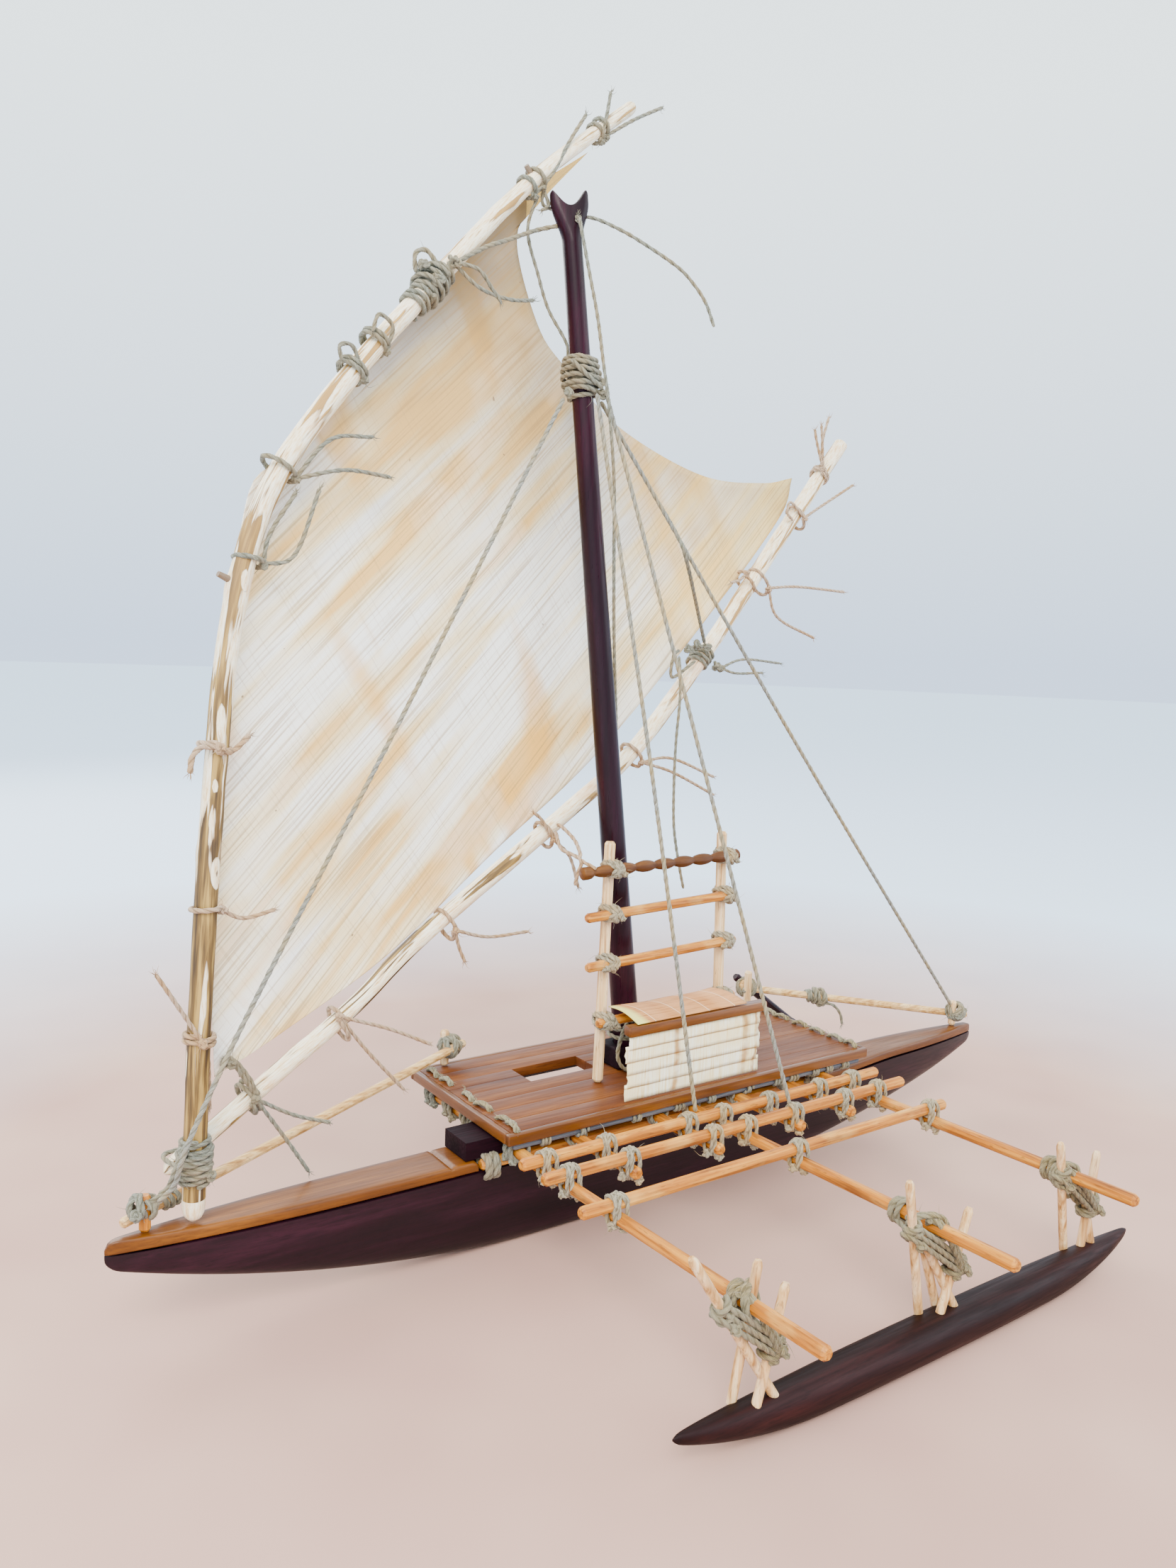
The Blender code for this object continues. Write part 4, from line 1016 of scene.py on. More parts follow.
YARD_TIES = {
    "grey": (
        ((180, 449), (0.76, 0.65), (183.5, 446), [[(183, 456, 1), (185, 466, 1)]], 1, 0, 2.9),
        ((183, 452), (0.8, 0.6), (186, 449), [[(200, 460, 1), (217, 470.5, 2)]], 1, 0, 2.9),
        ((142, 416.5), (0.74, 0.67), (146, 413),
         [[(154, 425, 0), (163, 440, 0), (172, 453, 0)]], 1, 0, 3.2),
        ((147, 421), (0.74, 0.67), (151, 416), [[(152, 412, 0), (148, 409, 0)]], 1, 0, 3.2),
        ((60.5, 331.5), (0.62, 0.78), (64, 329),
         [[(58, 338, 2), (52.5, 337.5, 2), (54, 333, 1)]], 2),
        ((70, 343), (0.62, 0.78), (74, 341), [[(74, 348, 3), (68, 351, 3), (66, 345, 2)]], 2),
        ((33, 293.5), (0.5, 0.86), (38.5, 291),
         [[(50, 306, 1), (67, 309.3, 2)], [(56, 296.5, 1), (75.5, 296.6, 1)]], 1, -3),
        ((20.4, 263), (0.25, 0.97), (26, 262),
         [[(27, 272, 0), (36.4, 286.7, 1)], [(36, 266, 1), (45.7, 289, 1)]])),
    "golden": (
        ((8.6, 201.5), (0.1, 1), (7, 201),
         [[(2, 202, 1), (-1.5, 199, 1), (-2.4, 193.6, 1)], [(13, 200.5, 1), (19.3, 205.6, 1)]],
         1, 0, 4.0, 1.25 * MM),
        ((5.0, 147.5), (0.05, 1), (9, 147), [[(17, 143.5, 1), (28.5, 145, 2)]]),
        ((2.6, 104), (0.03, 1), (1, 103),
         [[(-4, 113, 1), (-14.9, 130, 2)], [(6, 96, -3), (8.2, 76.5, -6)]], 2))}


def make_yard_ties():
    """Ties of the sail's luff, and the one long end that hangs free from them."""
    ends = []
    for name, finish in (("grey", twine_grey), ("golden", twine_pink)):
        shape = new_shape()
        for at, *rest in YARD_TIES[name]:
            ends += tie(shape, at, 0, *rest)
        keep(f"yard_ties_{name}", shape, finish, "rig")
    free_end("yard_tie_end", ends[0], THIN_TWINE, twine_grey, "rig")


STEEP, MIDDLE, LOW = (0.7, 0.71), (0.75, 0.66), (0.86, 0.5)
SPAR_TIES = (
    ((369, 336), 2, STEEP, (366, 338),
     [[(359, 352, 1), (356.5, 358, 1)], [(366, 352, 0), (371, 366.5, 0)],
      [(363, 352, 2), (361, 361, 2)]], 2),
    ((347, 313), 2.4, STEEP, (349, 311),
     [[(365, 318, 1), (398, 334.3, 2)], [(338, 318, 1), (334, 312, 2), (339, 309, 2)]], 1, 5),
    ((315, 278), 2.8, STEEP, (319, 271),
     [[(350, 275, 1), (396, 275, 2)], [(332, 258, 1), (367, 248.3, 2)]], 1, 7),
    ((305, 276), 2.8, STEEP, (301, 277), [[(296, 275, 1), (289, 273.3, 1)]], 1, 4),
    ((223, 191), 4.6, MIDDLE, (227, 186),
     [[(250, 187, 1), (283.8, 176.2, 2)], [(252, 180, 1), (284.5, 167, 2)]], 1, 4),
    ((168, 158), 5.4, LOW, (171, 156),
     [[(163, 164, 2), (157.5, 168, 2)], [(182, 146, 1), (187.3, 131.6, 2)]], 1, 3),
    ((113, 127), 6.2, LOW, (115, 123),
     [[(119, 115, 1), (122.4, 108.4, 1)], [(135, 117, 1), (157.4, 116, 2)]], 1, 5),
    ((62, 96.5), 7, LOW, (64, 100),
     [[(74, 82, 1), (92.5, 61.5, 1)], [(85, 88, 1), (104.8, 77.6, 2)]], 1, 6))


def make_spar_ties():
    """Ties of the sail's foot, with their long free ends."""
    shape = new_shape()
    ends = []
    for row in SPAR_TIES:
        ends += tie(shape, *row)
    keep("boom_spar_ties", shape, twine_pink, "rig")
    for number, points in enumerate(ends, 1):
        free_end(f"boom_spar_tie_end_{number}", points, 0.8 * MM, twine_pink, "rig")


def make_first_spar_tie():
    """The grey tie nearest the tack, with a twisted loop that stands above the spar."""
    shape = new_shape()
    ends = tie(shape, (25, 76.5), 7.5, LOW, (27, 77),
               [[(38, 58, 1), (48.9, 41, 1)], [(42, 65, 1), (58, 57.5, 1)]], 2, 3)
    for lift in (0, 1.5):
        path = [rig(26, 77, 3.5), rig(22 + lift, 83, 2.5), rig(17.5, 90 + lift, 2.5),
                rig(14.5, 94 - lift, 3), rig(13 + lift, 90, 4)]
        lay_twine(shape, smooth(path))
    tie_knot(shape, rig(16, 91, 2.8), -ASIDE)
    fluff(shape, rig(18, 88, 3), mm(3, 2, 4), 12)
    keep("first_boom_spar_tie", shape, twine_grey, "rig")
    free_end("first_boom_spar_tie_end", ends[0], THIN_TWINE, twine_grey, "rig")


# Big lashings of the rig

def make_yard_halyard_lashing():
    """The lashing that the halyard holds, high on the yard."""
    shape = new_shape()
    wind(shape, rig(86, 358), rig(101, 374.5), 3.8, 8, wobble=0.5)
    wind(shape, rig(91, 364), rig(99, 372.5), 5.2, 3, wobble=0.6)
    tie_knot(shape, rig(101, 377, -5), -ASIDE, 3.0, TWINE,
             [[rig(110, 376, -9), rig(117, 371, -9), rig(122, 367, -9)],
              [rig(112, 370, -8), rig(126, 369, -9), rig(140, 372, -8)]])
    loop = [rig(88, 371, 0), rig(87, 377, -1), rig(92, 379.5, -1), rig(96, 375, -3)]
    lay_twine(shape, smooth(loop))
    tie_knot(shape, rig(94, 369, -5), -ASIDE, 2.8)
    tie_knot(shape, rig(90, 373.5, -2), UP, 2.6)
    fluff(shape, rig(96, 369, -3), mm(7, 4, 7), 14)
    keep("yard_halyard_lashing", shape, twine_grey, "rig")


def make_spar_lift_lashing():
    """The lashing that the boom lift holds, halfway along the boom spar."""
    shape = new_shape()
    wind(shape, rig(269, 232, 4), rig(277, 239, 4), 4.0, 4, wobble=0.5)
    for s, z, size in ((262, 242, 3.0), (256, 240, 2.6), (279, 232, 3.0), (271, 241, 2.6)):
        tie_knot(shape, rig(s, z, -1.5), (-ASIDE + ALONG * 0.3).normalized(), size)
    tie_knot(shape, rig(283, 231, -1.5), -ASIDE, 2.4, 0.85 * MM,
             [[rig(300, 235.5, -3), rig(331.4, 234.1, -4)],
              [rig(294, 228.5, -3), rig(316, 229, -4)]])
    loop = [rig(250, 239, -1), rig(247, 236, 0), rig(248, 226, 1), rig(262, 234, -1.5)]
    lay_twine(shape, smooth(loop), 0.9 * MM)
    fluff(shape, rig(270, 237, -1), mm(10, 5, 8), 12)
    keep("boom_spar_lift_lashing", shape, twine_grey, "rig")


def make_tack_lashing():
    """The lashing that joins the yard and the boom spar at the sail's foremost corner."""
    shape = new_shape()
    thin = 0.85 * MM
    wind(shape, rig(0.6, 54), rig(1.0, 70), 4.0, 9, 0.9 * MM, 0.6)
    wind(shape, rig(0.6, 56), rig(0.9, 66), 5.0, 4, thin, 0.9)
    lay_ring(shape, thin, rig(0, 62, 3.5), ALONG, ASIDE, 6.4 * MM, 8.6 * MM, 1, 2.5 * MM,
             (UP + ALONG * 0.4).normalized())
    tie_knot(shape, rig(4, 57, -5), (-ASIDE + ALONG * 0.4).normalized(), 2.2, thin)
    tie_knot(shape, rig(-4.4, 67, -2), (-ASIDE - ALONG).normalized(), 2.0, thin)
    fluff(shape, rig(1, 61, 0), mm(6, 6, 8), 34)
    keep("tack_lashing", shape, twine_grey, "rig")


# Ropes between the mast, the hull and the rig

def rope_piece(name, points, finish, instead_of=(), thick=TWINE):
    """A rope that is held at both ends on the canoe."""
    shape = new_shape()
    lay_twine(shape, smooth(points), thick, STEP)
    keep(name, shape, finish, instead_of=instead_of)


STAYS = {
    "bow": ("stay_bow", ((-43.5, 18.2, 337), (-113.7, 5.5, 219.5), (-175.1, -5.8, 119.1),
                         (-192.5, -10.5, 90), (-201.7, -12.3, 72.1), (-204, -12, 65.2),
                         (-205.1, -9.3, 58.1), (-208.9, -4.3, 51))),
    "stern": ("stay_stern", ((-24, 20, 339), (90, 10.5, 197), (207.9, 0.2, 54.5))),
    "fore_outrigger": ("stay_outrigger_fore", ((-31, 13, 340), (-16.5, -12.8, 195),
                                               (-3.2, -36.0, 51.2))),
    "aft_outrigger": ("stay_outrigger_aft", ((-26, 13, 340), (5.2, -19.5, 195),
                                             (35.8, -50.9, 51.7)))}


def make_stays():
    """The four stays, and a short tie beside the foot of the bow stay."""
    for name, (node, points) in STAYS.items():
        rope_piece(f"{name}_stay_rope", [mm(*point) for point in points], stay_twine, [node])
        if name == "bow":
            rope_piece("bow_tie_rope", [mm(-200.5, -6.5, 70), mm(-204, -6.5, 62), mm(-206, -4, 55),
                                        mm(-211, -1.5, 50)], twine_grey)


def make_mast_collar():
    """Rope turns that hold the stays, with the knots of the stays in them."""
    shape = new_shape()
    wind(shape, mast_at(340), mast_at(354), mast_radius(347) / MM, 7, 1.05 * MM, 1.0)
    tilt = Matrix.Rotation(radians(9), 3, "Y")
    for height, reach in ((342, 6.4), (344.5, 7.0), (347, 7.2), (349.5, 7.0), (352, 6.5),
                          (354, 6.0)):
        lean = Matrix.Rotation(chance.uniform(-0.16, 0.16), 3, "Y") @ tilt
        lay_ring(shape, 1.05 * MM, mast_at(height), lean @ X_AXIS, Y_AXIS, reach * MM,
                 reach * MM, 1, 2.2 * MM, UP, start=pi * 0.5)
    for x, y, z, size in ((-27, 14.8, 340.5, 2.6), (-26.5, 17, 346, 2.2),
                          (-41.5, 17.5, 339.8, 2.0)):
        centre = mm(x, y, z)
        tie_knot(shape, centre, (centre - mast_at(z)).normalized(), size)
    lay_twine(shape, smooth([mm(-42, 16, 352), mm(-36, 13.6, 347), mm(-28, 13.4, 342.5)]), 1.0 * MM)
    fluff(shape, mast_at(347), mm(8, 8, 9), 24)
    keep("mast_collar_rope", shape, twine_grey, instead_of=["mast_collar"])


def crossing_rope(name, lines, thick=TWINE, finish=twine_grey):
    """A rope from the canoe to the rig, kept as a piece on neither body."""
    shape = new_shape()
    for points in lines:
        lay_twine(shape, smooth(points), thick, STEP)
    piece = keep(name, shape, finish, None)
    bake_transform(piece)


def make_ladder_rope():
    """Twine from a tie on the boom spar to the end of the carved rung, with a slack loop."""
    knot, meet, rung = mm(-30.2, 32.6, 162), mm(-33.4, 9.3, 150.5), mm(-31.2, 1.2, 148)
    tight = [rung, meet, mm(-32.6, 10.8, 152.7), mm(-30, 18.9, 157), mm(-29.6, 28.7, 161), knot]
    slack = [mm(-35.1, 10.5, 139.6), mm(-34.3, 9.6, 145), meet, mm(-35.7, 19.2, 153.2),
             mm(-34.1, 24.6, 154.7), mm(-30.7, 32.4, 158.5)]
    crossing_rope("spar_to_ladder_rope", [tight, slack],
                  0.9 * MM, twine_pink)


FALL_LINE = ((-40.9, 13.7, 401.7), (-38.4, 10.9, 385.4), (-35, 8.8, 368.2), (-32.4, 6.9, 349.2),
             (-29.8, 7, 338), (-25.7, 9, 322), (-21.6, 11.6, 303.3), (-18.3, 15, 283.8),
             (-15.0, 18.2, 263.1), (-12.0, 20.8, 243), (-7.6, 24, 217.2), (-4.6, 26.6, 200),
             (-0.5, 29.5, 140), (3.5, 30.0, 90), (4.5, 29.2, 66))


def make_running_ropes():
    """The halyard, the yard's ties to the mast, the boom lift and the halyard's fall."""
    knot, entry = rig(104, 378, -4.5), fork(-3.6, 0.5, 7)
    path = [fork(0, -1, 7.5), entry, rig(146, 401, -2), rig(130.6, 393.2, -3),
            rig(117.9, 386.8, -4), knot]
    crossing_rope("halyard_rope", [path])
    knot, side = rig(147, 414, -1), mast_at(352) + mm(-3, 7, 0)
    path = [side, mm(-36.8, 27, 360.1), mm(-44.5, 30, 373.5), mm(-50, 30, 386),
            mm(-56, 29, 401), knot]
    crossing_rope("yard_tie_rope", [path], 0.75 * MM)
    back = fork(-3.5, 3.4, 13)
    path = [fork(4, 3.4, 11.5), fork(0, 3.6, 12.5), back, mm(-49, 29, 412.3), rig(150, 417, -1)]
    crossing_rope("yard_to_fork_rope", [path],
                  0.75 * MM)
    knot, hitch = rig(268, 243, -2), mm(17, 16.6, 287.9)
    path = [mm(7, 17.4, 300.4), hitch, mm(22, 15.5, 277), knot]
    crossing_rope("boom_lift_rope", [path])
    path = [fork(0.5, -1, 8.5), fork(2.2, -4.4, 8), *[mm(*point) for point in FALL_LINE]]
    rope_piece("halyard_fall_rope", path, twine_grey, thick=0.78 * MM)
    frayed = new_shape()
    add_fibres(frayed, fork(1.8, -4.0, 9.5), (UP - FORK_BACK).normalized(), 10, TWINE)
    tie_knot(frayed, fork(2.0, -3.9, 8.2), -FORK_BACK, 1.4, 0.8 * MM)
    keep("halyard_hole_knot", frayed, twine_grey)


# Ladder

def make_carved_rung():
    """Top rung of the ladder: a turned spindle with five beads and rounded end buttons."""
    beads, button, waist = 8.13, 0.62, 0.3

    def radius(t, angle, run):
        swell = abs(sin(pi * (t * beads - button)))
        size = 1.35 + 1.2 * swell ** 0.75
        edge = min(t, 1 - t) * beads
        if edge < waist:
            size = 2.75 * min(1.0, edge / 0.08) ** 0.5
        elif edge < button:
            size = 2.75 - 1.4 * ((edge - waist) / 0.32) ** 2
        return (size + 0.06 * cos(5 * angle + 9 * t)) * MM

    shape = new_shape()
    sweep(shape, even([mm(-37.2, 3.3, 145.9), mm(49.6, 3.3, 147.65)], 0.45 * MM), radius, 20)
    keep("ladder_carved_spindle", shape, carved_wood, instead_of=["ladder_rung_carved"],
         sharp=60)


RUNGS = (((-26.0, 80.4), (51.0, 82.4)), ((-32.6, 105.5), (50.0, 108.4)),
         ((-33.6, 126.8), (49.0, 129.6)), ((-36.5, 145.9), (49.0, 147.6)))
UPRIGHTS = ((-21.2, -19.3, 157.5), (47.0, 43.6, 158.0))


def make_ladder_lashings():
    """Twine where the rungs, each given by its two ends, cross the uprights."""
    shape = new_shape()
    foot_z = 52.9
    for (fore_x, fore_z), (aft_x, aft_z) in RUNGS:
        for foot_x, top_x, top_z in UPRIGHTS:
            x = foot_x + (top_x - foot_x) * ((fore_z + aft_z) / 2 - foot_z) / (top_z - foot_z)
            z = fore_z + (aft_z - fore_z) * (x - fore_x) / (aft_x - fore_x)
            side = aim(chance.choice((-1, 1)), -0.7, -0.5)
            cross_lash(shape, mm(x, 5.7, z), UP, 4.8 * MM, 2.1 * MM, side, hairs=14, up=Y_AXIS)
    keep("ladder_lashings", shape, twine_bone)


# Lashings of the outrigger

def make_stringer_lashings():
    """Twine where the stringers cross the booms and, the outer one aside, the short poles."""
    for name, y in STRINGER_Y.items():
        shape = new_shape()
        for x in BOOM_X if name == "outer" else BOOM_X + SHORT_POLE_X:
            low, high = boom_z(y), boom_z(y) + 5.1
            side = aim(-1, chance.uniform(-0.5, 0.1), -0.9)
            cross_lash(shape, mm(x, y, low + 2.55), Y_AXIS, 5.1 * MM, DOWEL, side, 0.85 * MM)
            wind(shape, mm(x - 3.2, y, high), mm(x - 1.2, y, high), DOWEL / MM, 1, 0.8 * MM)
            tie_knot(shape, mm(x + chance.uniform(-1, 2), y - 3.4, low - 2.8), -UP, 1.9)
        keep(f"{name}_stringer_lashings", shape, twine_bone)


# Each group: its boom's x, the y of the turns round that boom, its low and its high stick, and
# the top and foot of each stick
STICK_FOOT = 11.8
STICKS = {
    "fore": (-75.8, -141, 2, 0, ((-99, -145.5, 66.2, -63.5, -147), (-71.7, -145, 57.7, -77, -142),
                                 (-60.4, -146, 47.7, -72, -147.5))),
    "mid": (11.8, -130, 1, 0, ((-4.2, -145.5, 66, 11.5, -141), (29, -146, 48.7, 17, -145.5),
                               (4, -143, 48, 26, -145), (9, -140, 46, 22, -140))),
    "aft": (90.1, -138, 1, 0, ((82, -146, 60.3, 97.5, -141.5), (106.8, -146.5, 51.6, 104, -144.5),
                               (101.6, -144.3, 41, 110.5, -145)))}


def make_float_sticks():
    """Crossed sticks that stand on the float, each group with its lashing to a boom."""
    for name, (boom_x, turns_y, low, high, sticks) in STICKS.items():
        shape = new_shape()
        lines = [(mm(foot_x, foot_y, STICK_FOOT), mm(x, y, z))
                 for x, y, z, foot_x, foot_y in sticks]
        for line in lines:
            sweep(shape, even(line, 1.5 * MM),
                  lambda t, angle, run: 1.6 * MM * (1 - 0.35 * max(0, t * 40 - 39)), 14)
        keep(f"{name}_float_sticks", shape, float_stick, instead_of=[f"float_sticks_{name}"])
        lash_float_sticks(name, lines, low, high, boom_x, turns_y)


def lash_float_sticks(name, lines, low, high, boom_x, turns_y):
    """The heavy lashing that ties the sticks of a group to each other and to their boom."""
    def on_stick(number, height):
        foot, top = lines[number]
        return foot.lerp(top, (height * MM - foot.z) / (top.z - foot.z))

    rope = new_shape()
    thin, full = 1.0 * MM, 1.05 * MM
    boom, turns_z = mm(boom_x, FLOAT_Y, boom_z(FLOAT_Y)), boom_z(turns_y)
    upper, lower = on_stick(high, 46), on_stick(low, 30)
    slope = (lower - upper).normalized()
    flat = slope.cross(Y_AXIS).normalized()
    face = flat.cross(slope).normalized()
    reach = (lower - upper).length / 2 + 3.2 * MM
    for shift in (-1.05, 0, 1.05):
        lay_ring(rope, thin, (upper + lower) / 2 + flat * shift * 2.0 * MM, slope, face, reach,
                 3.3 * MM, 1, 1.2 * MM, flat, start=pi * 0.45)
    wind(rope, on_stick(low, 25.5), on_stick(low, 34), 2.2, 4, full, 0.7)
    wind(rope, on_stick(high, 44), on_stick(high, 49.5), 1.9, 2, full, 0.7)
    wind(rope, mm(boom_x, turns_y + 2.5, turns_z), mm(boom_x, turns_y - 2.5, turns_z),
         DOWEL / MM + 0.6, 3, full, 0.8)
    strand = [mm(boom_x - 3, turns_y, turns_z - 2), on_stick(high, 42) + mm(1, -2.6, 0),
              lower.lerp(upper, 0.4) + face * 5 * MM, lower + face * 3.6 * MM]
    lay_twine(rope, smooth(strand), thin)
    for number in (low, high, 3 - low - high):
        touch = on_stick(number, boom_z(FLOAT_Y))
        span = touch - boom
        if span.length > 9 * MM:
            continue
        side = span.normalized() if span.length > 1.5 * MM else X_AXIS
        lay_ring(rope, full, (touch + boom) / 2, side, (UP + Y_AXIS * 0.3).normalized(),
                 span.length / 2 + 3.4 * MM, 4.4 * MM, 2, 2.4 * MM, Y_AXIS,
                 start=chance.uniform(0, 6))
    span = boom - lower
    lay_ring(rope, full, (boom + lower) / 2, span.normalized(), face, span.length / 2 + 3.6 * MM,
             3.9 * MM, 2, 2.6 * MM, X_AXIS)
    tie_knot(rope, lower + mm(1.5, -3.4, -1), (-Y_AXIS + X_AXIS * 0.4).normalized(), 2.4, thin)
    tie_knot(rope, on_stick(high, 43) + mm(0, -3, -1), -Y_AXIS, 2.0, thin)
    fluff(rope, (boom + lower) / 2, mm(8, 5, 10), 22)
    keep(f"{name}_float_lashing", rope, twine_gold)


# Lashings of the platform and the poles

STITCHES = {-78.2: (51, 39, 20, 8, -8, -15), 113.6: (42, 33, 20, 8, -4, -14)}


def make_platform_stitches():
    """Twine stitches through the platform's two ends, at these y for each x."""
    shape = new_shape()
    for x, places in STITCHES.items():
        for y in places:
            long = chance.uniform(3.4, 4.6)
            skew = chance.uniform(-0.8, 0.8)
            start = mm(x + skew, y + long, PLATFORM_TOP + 0.9)
            end = mm(x - skew, y - long, PLATFORM_TOP + 0.9)
            rise, sunk = mm(0, 0, chance.uniform(0.5, 1.2)), mm(0, 0, 1.5)
            for shift in (-0.75, 0.75):
                path = [start - sunk, start + mm(shift, -0.6, 0),
                        start.lerp(end, 0.5) + rise + mm(-shift, 0, 0), end + mm(shift, 0.6, 0),
                        end - sunk]
                lay_twine(shape, smooth(path, 0.6 * MM), 0.85 * MM)
            add_fibres(shape, start, Y_AXIS, 5, TWINE)
            add_fibres(shape, end, -Y_AXIS, 5, TWINE)
    keep("platform_stitches", shape, twine_gold)


def make_under_platform_lashings():
    """Turns and knots on the booms, the short poles and the near gunwale pole's bow end."""
    shape = new_shape()
    level = boom_z(0)
    for x in (BOOM_X[0], BOOM_X[2]):
        for y in (55, 49, 38, 32, 22, 16, 6, -12, -17):
            wind(shape, mm(x, y - 1.5, level + 0.9), mm(x, y + 1.5, level + 0.9), 3.1, 2,
                 wobble=0.7)
            tie_knot(shape, mm(x - 2.6, y + chance.uniform(-1, 1), level - 2.8), aim(-0.6, 0, -1))
    for x in SHORT_POLE_X + (BOOM_X[1],):
        wind(shape, mm(x, -17.5, level + 1.3), mm(x, -14.0, level + 1.3), 3.3, 2, wobble=0.6)
        tie_knot(shape, mm(x - 1, -18.6, level - 2.4), aim(0, -1, -0.4))
    for x in (-79.5, -77):
        wind(shape, mm(x - 6.6, -8.5, 37.4), mm(x - 5.4, -8.5, 37.4), DOWEL / MM, 1, 1.1 * MM)
    for x in (-86.5, -83.0):
        lay_ring(shape, 1.15 * MM, mm(x, -8.9, 36.6), Y_AXIS, UP, 3.4 * MM, 4.2 * MM, 2, 2.4 * MM,
                 X_AXIS)
    keep("under_platform_lashings", shape, twine_grey)


def make_rod_ties():
    """Ties along the thin rod under the platform's near edge."""
    shape = new_shape()
    for x in (-66, -48, -20, 2, 20, 42, 60, 70, 84, 93, 104):
        wind(shape, mm(x - 2.2, -18.5, 46.5), mm(x + 2.2, -18.5, 46.5), 1.3, 3, 0.75 * MM, 0.5)
    keep("rod_ties", shape, twine_grey)


def make_pole_lashings():
    """Ties of the pegs and the long lee poles."""
    shape = new_shape()
    for x, y, z, wide, deep, tall, count in ((-67, 57, 61.5, 4.6, 3.4, 4.4, 4),
                                             (-212.5, 1.0, 48.2, 4.6, 3.4, 3.2, 3),
                                             (213, 0.8, 50, 4.4, 3.6, 4.4, 4),
                                             (114.5, 61.0, 61.6, 4.8, 3.2, 4.2, 4)):
        centre = mm(x, y, z)
        for i in range(count):
            roll = Matrix.Rotation(chance.uniform(-0.9, 0.9), 3, "X")
            tilt = roll @ Matrix.Rotation(pi * i / count + chance.uniform(-0.2, 0.2), 3, "Z")
            lay_ring(shape, TWINE, centre, tilt @ X_AXIS, tilt @ UP, wide * MM, tall * MM, 2,
                     1.8 * TWINE, tilt @ Y_AXIS)
        tie_knot(shape, centre + mm(-wide * 0.6, -deep, -1), -Y_AXIS, 2.3)
        tie_knot(shape, centre + mm(wide * 0.6, -deep * 0.7, 1), -Y_AXIS)
        fluff(shape, centre, mm(wide, deep, tall), 12)
    wind(shape, mm(143, 45.4, 57.3), mm(153, 39.8, 56), 1.9, 6, wobble=0.7)
    wind(shape, mm(146, 43.6, 57), mm(152, 40.4, 56.1), 3.2, 3, wobble=0.7)
    tie_knot(shape, mm(149, 40, 53.6), aim(0.3, -1, -0.4), 2.6, TWINE,
             [[mm(156, 37, 52), mm(160.5, 35.5, 47), mm(162, 35, 41)]])
    wind(shape, mm(-205, 7, 45.2), mm(-199, 9.2, 46), 1.9, 3, wobble=0.6)
    keep("pole_lashings", shape, twine_grey)


def make_mast_foot_rope():
    """Turns round the foot of the mast that lead down to its step."""
    shape = new_shape()
    for height in (66, 70, 74):
        lay_ring(shape, TWINE, mast_at(height), X_AXIS, Y_AXIS, 7.2 * MM, 7.2 * MM, 1.2, 3 * MM, UP)
    for points in (((-1, 14.5, 74), (-6, 12.4, 68), (-8, 11.6, 60), (-4, 11, 54), (4, 11.5, 54)),
                   ((3, 13.8, 76), (2, 11.5, 70), (0, 10.5, 60), (3, 9.5, 53.8))):
        lay_twine(shape, smooth([mm(*point) for point in points]))
    tie_knot(shape, mm(-1.5, 13, 70), -Y_AXIS, 2.6)
    keep("mast_foot_rope", shape, twine_grey)


# Finishes of the solids that stay

def dress_solids():
    """Give each solid that isn't replaced its wood."""
    finishes = {
        box_wood: ("washstrake", "mast_step"),
        mast_wood: ("steering_paddle",),
        golden_y: ("boom_fore", "boom_mid", "boom_aft",
                   *(f"short_pole_{number}" for number in range(1, 5))),
        golden_x: ("gunwale_pole_near", "gunwale_pole_lee", "stringer_inner", "stringer_middle",
                   "stringer_outer", "ladder_rung_1", "ladder_rung_2", "ladder_rung_3"),
        golden_z: ("peg_bow",),
        pale_x: ("lee_pole_fore", "lee_pole_aft"),
        pale_z: ("ladder_upright_fore", "ladder_upright_aft", "peg_platform_fore",
                 "peg_platform_aft", "peg_stern"),
        rod_wood: tuple(f"deck_rod_{number}" for number in range(1, 5))}
    for finish, names in finishes.items():
        for name in names:
            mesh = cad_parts[name].data
            mesh.materials.clear()
            mesh.materials.append(finish)


# Stage

def link(name, data):
    """Put a new object into the scene."""
    thing = bpy.data.objects.new(name, data)
    bpy.context.scene.collection.objects.link(thing)
    return thing


def make_floor():
    """A round pale floor that turns into the sky's tone further out."""
    shape = bmesh.new()
    bmesh.ops.create_circle(shape, cap_ends=True, segments=128, radius=9)
    mesh = bpy.data.meshes.new("floor")
    shape.to_mesh(mesh)
    shape.free()
    plain = Finish("pale_floor", 0.9)
    away = plain.node("VectorMath", {0: plain.place()}, operation="LENGTH").outputs["Value"]
    mottle = plain.ramp(plain.grain((9, 9, 9), 2), (0.3, (0.44, 0.25, 0.2)),
                        (0.7, (0.52, 0.32, 0.25)))
    base = plain.blend(plain.ramp(away, (0.3, 0.0), (0.75, 1.0)), mottle, (0.62, 0.73, 0.88))
    mesh.materials.append(plain.done(base))
    link("floor", mesh)


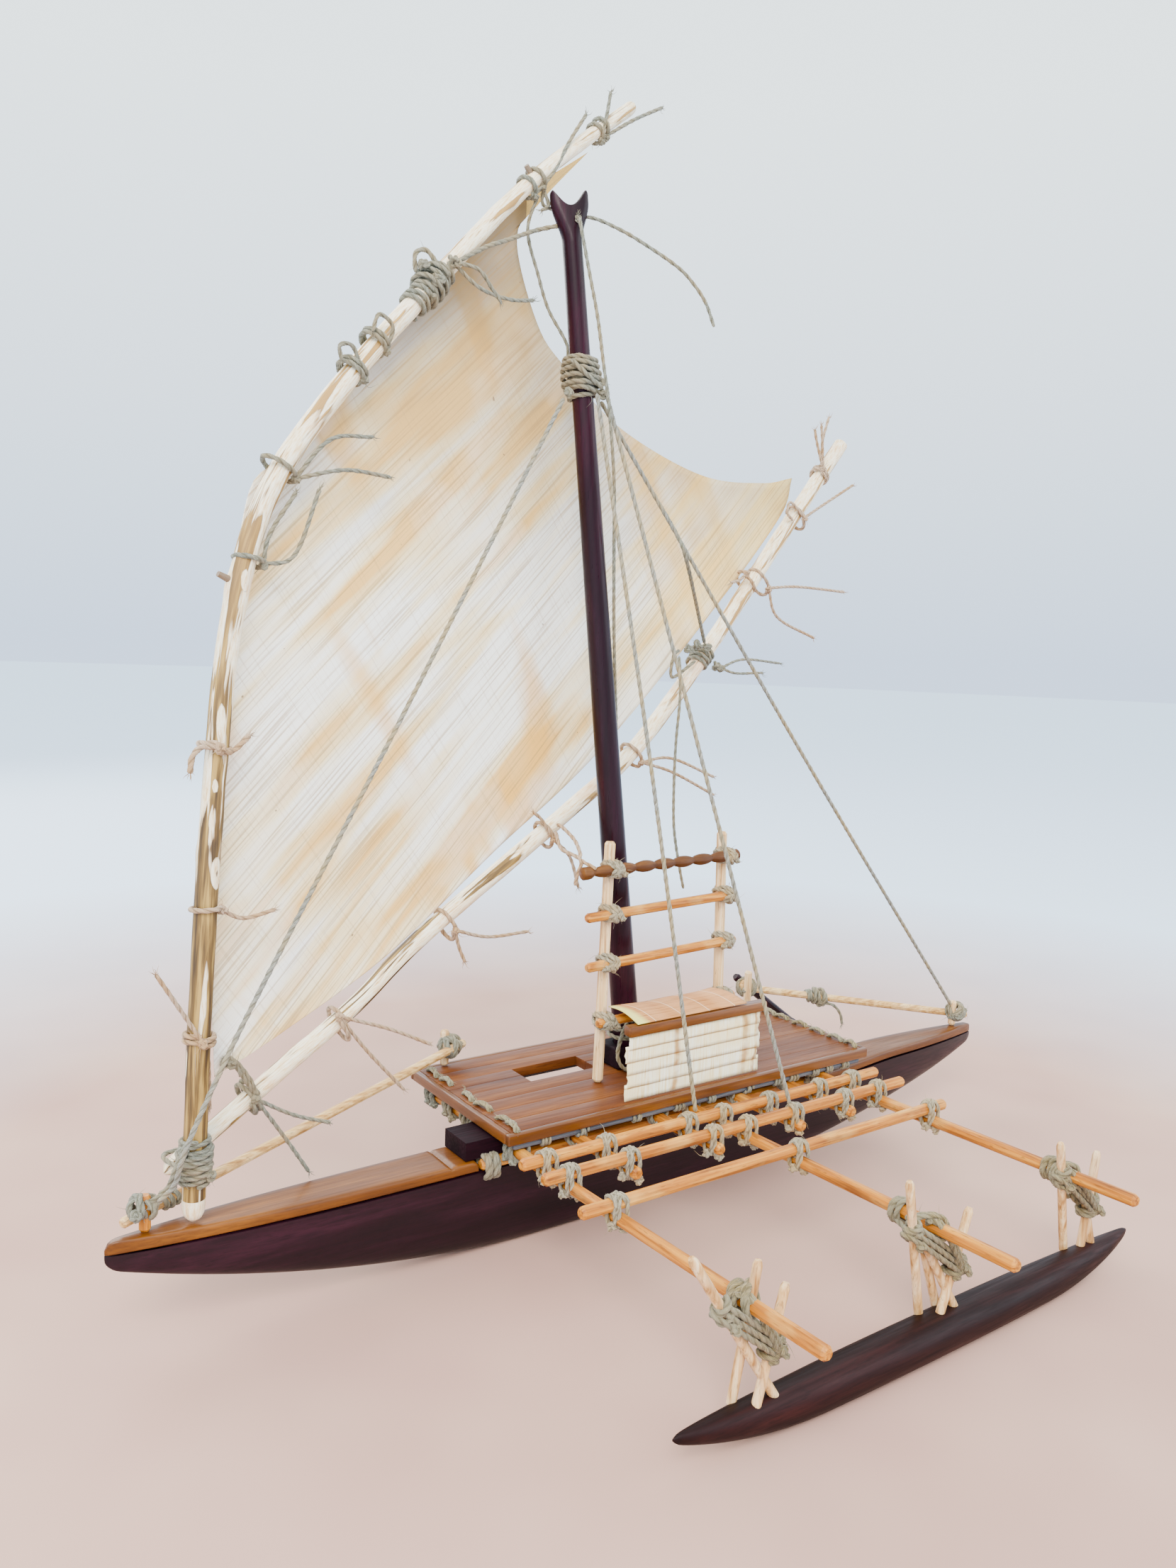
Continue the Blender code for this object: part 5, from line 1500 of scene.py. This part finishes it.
def make_sky():
    """A pale blue studio, lighter towards the top."""
    world = bpy.data.worlds.new("studio")
    bpy.context.scene.world = world
    world.use_nodes = True
    nodes, links = world.node_tree.nodes, world.node_tree.links
    look = nodes.new("ShaderNodeTexCoord")
    split = nodes.new("ShaderNodeSeparateXYZ")
    sky = nodes.new("ShaderNodeValToRGB")
    stops = ((0.0, (0.46, 0.58, 0.76, 1)), (0.4, (0.84, 0.95, 1.0, 1)))
    for element, (position, tone) in zip(sky.color_ramp.elements, stops):
        element.position, element.color = position, tone
    links.new(look.outputs["Generated"], split.inputs["Vector"])
    links.new(split.outputs["Z"], sky.inputs["Fac"])
    links.new(sky.outputs["Color"], nodes["Background"].inputs["Color"])
    nodes["Background"].inputs["Strength"].default_value = 2.7


def make_lamps():
    """Three soft square lamps that look at the middle of the model."""
    target = Vector((0, -0.03, 0.15))
    for name, at, size, power, tint in (("key", (-0.9, -1.0, 1.2), 0.8, 48, (1, 0.95, 0.88)),
                                        ("fill", (1.2, -1.0, 0.7), 1.0, 10, (0.9, 0.94, 1)),
                                        ("back", (-0.3, 1.3, 1.0), 1.1, 22, (1, 0.96, 0.9))):
        light = bpy.data.lights.new(name, "AREA")
        light.shape, light.size = "SQUARE", size
        light.energy, light.color = power, tint
        lamp = link(name, light)
        lamp.location = at
        lamp.rotation_mode = "QUATERNION"
        lamp.rotation_quaternion = (target - Vector(at)).to_track_quat("-Z", "Y")


CAMERA_AT = Vector((-0.3098, -0.3822, 0.2379))
CAMERA_RIGHT = Vector((0.8165, -0.5762, 0.0362))
CAMERA_UP = Vector((0.0369, 0.1147, 0.9927))
SENSOR = 36
FOCAL_PIXELS, FRAME_PIXELS = 1644, 2212


def make_camera():
    """The camera that was solved for the view: a portrait frame with its long side upright."""
    forward = CAMERA_UP.cross(CAMERA_RIGHT).normalized()
    right = forward.cross(CAMERA_UP).normalized()
    upward = right.cross(forward)
    lens = bpy.data.cameras.new("camera")
    lens.sensor_width = SENSOR
    lens.lens = SENSOR * FOCAL_PIXELS / FRAME_PIXELS
    lens.clip_start = 0.01
    camera = link("camera", lens)
    turn = Matrix((right, upward, -forward)).transposed().to_4x4()
    camera.matrix_world = Matrix.Translation(CAMERA_AT) @ turn
    bpy.context.scene.camera = camera


make_camera()
free_end("boom_spar_hanging_end",
         [rig(250, 236, -1), rig(248, 229, -3.5), rig(247, 215, -5), rig(245.5, 196, -5),
          rig(246, 176, -4.5), rig(248, 155, -4), rig(252.5, 138, -4), rig(257.7, 123, -4)],
         0.78 * MM, twine_grey, "rig")
free_end("fork_loose_end",
         [fork(4.5, 3.0, 11), mm(-31, 19, 408.8), mm(-24.9, 15, 406.3), mm(-16.3, 10, 401.9),
          mm(-1.3, 2.5, 392.9), mm(6.3, 0, 386.6), mm(11.3, -2, 379.8), mm(14.9, -3.5, 371)],
         0.78 * MM, twine_grey, "canoe")
cover("hull_skin", "hull", hull_wood, hull_point, 96, 28)
cover("deck_bow_board", "deck_bow", deck_wood, deck_point(-225, -90), 120, 32, 50)
cover("deck_stern_board", "deck_stern", deck_wood, deck_point(101, 225), 120, 32, 50)
cover("float_body", "float", float_wood, float_point, 90, 32)
make_platform()
make_shelter()
make_mast()
make_fork()
make_spars()
make_sail()
make_yard_ties()
make_spar_ties()
make_first_spar_tie()
make_yard_halyard_lashing()
make_spar_lift_lashing()
make_tack_lashing()
make_stays()
make_mast_collar()
make_running_ropes()
make_ladder_rope()
make_stringer_lashings()
make_carved_rung()
make_ladder_lashings()
make_float_sticks()
make_platform_stitches()
make_under_platform_lashings()
make_rod_ties()
make_pole_lashings()
make_mast_foot_rope()
dress_solids()
make_floor()
make_sky()
make_lamps()
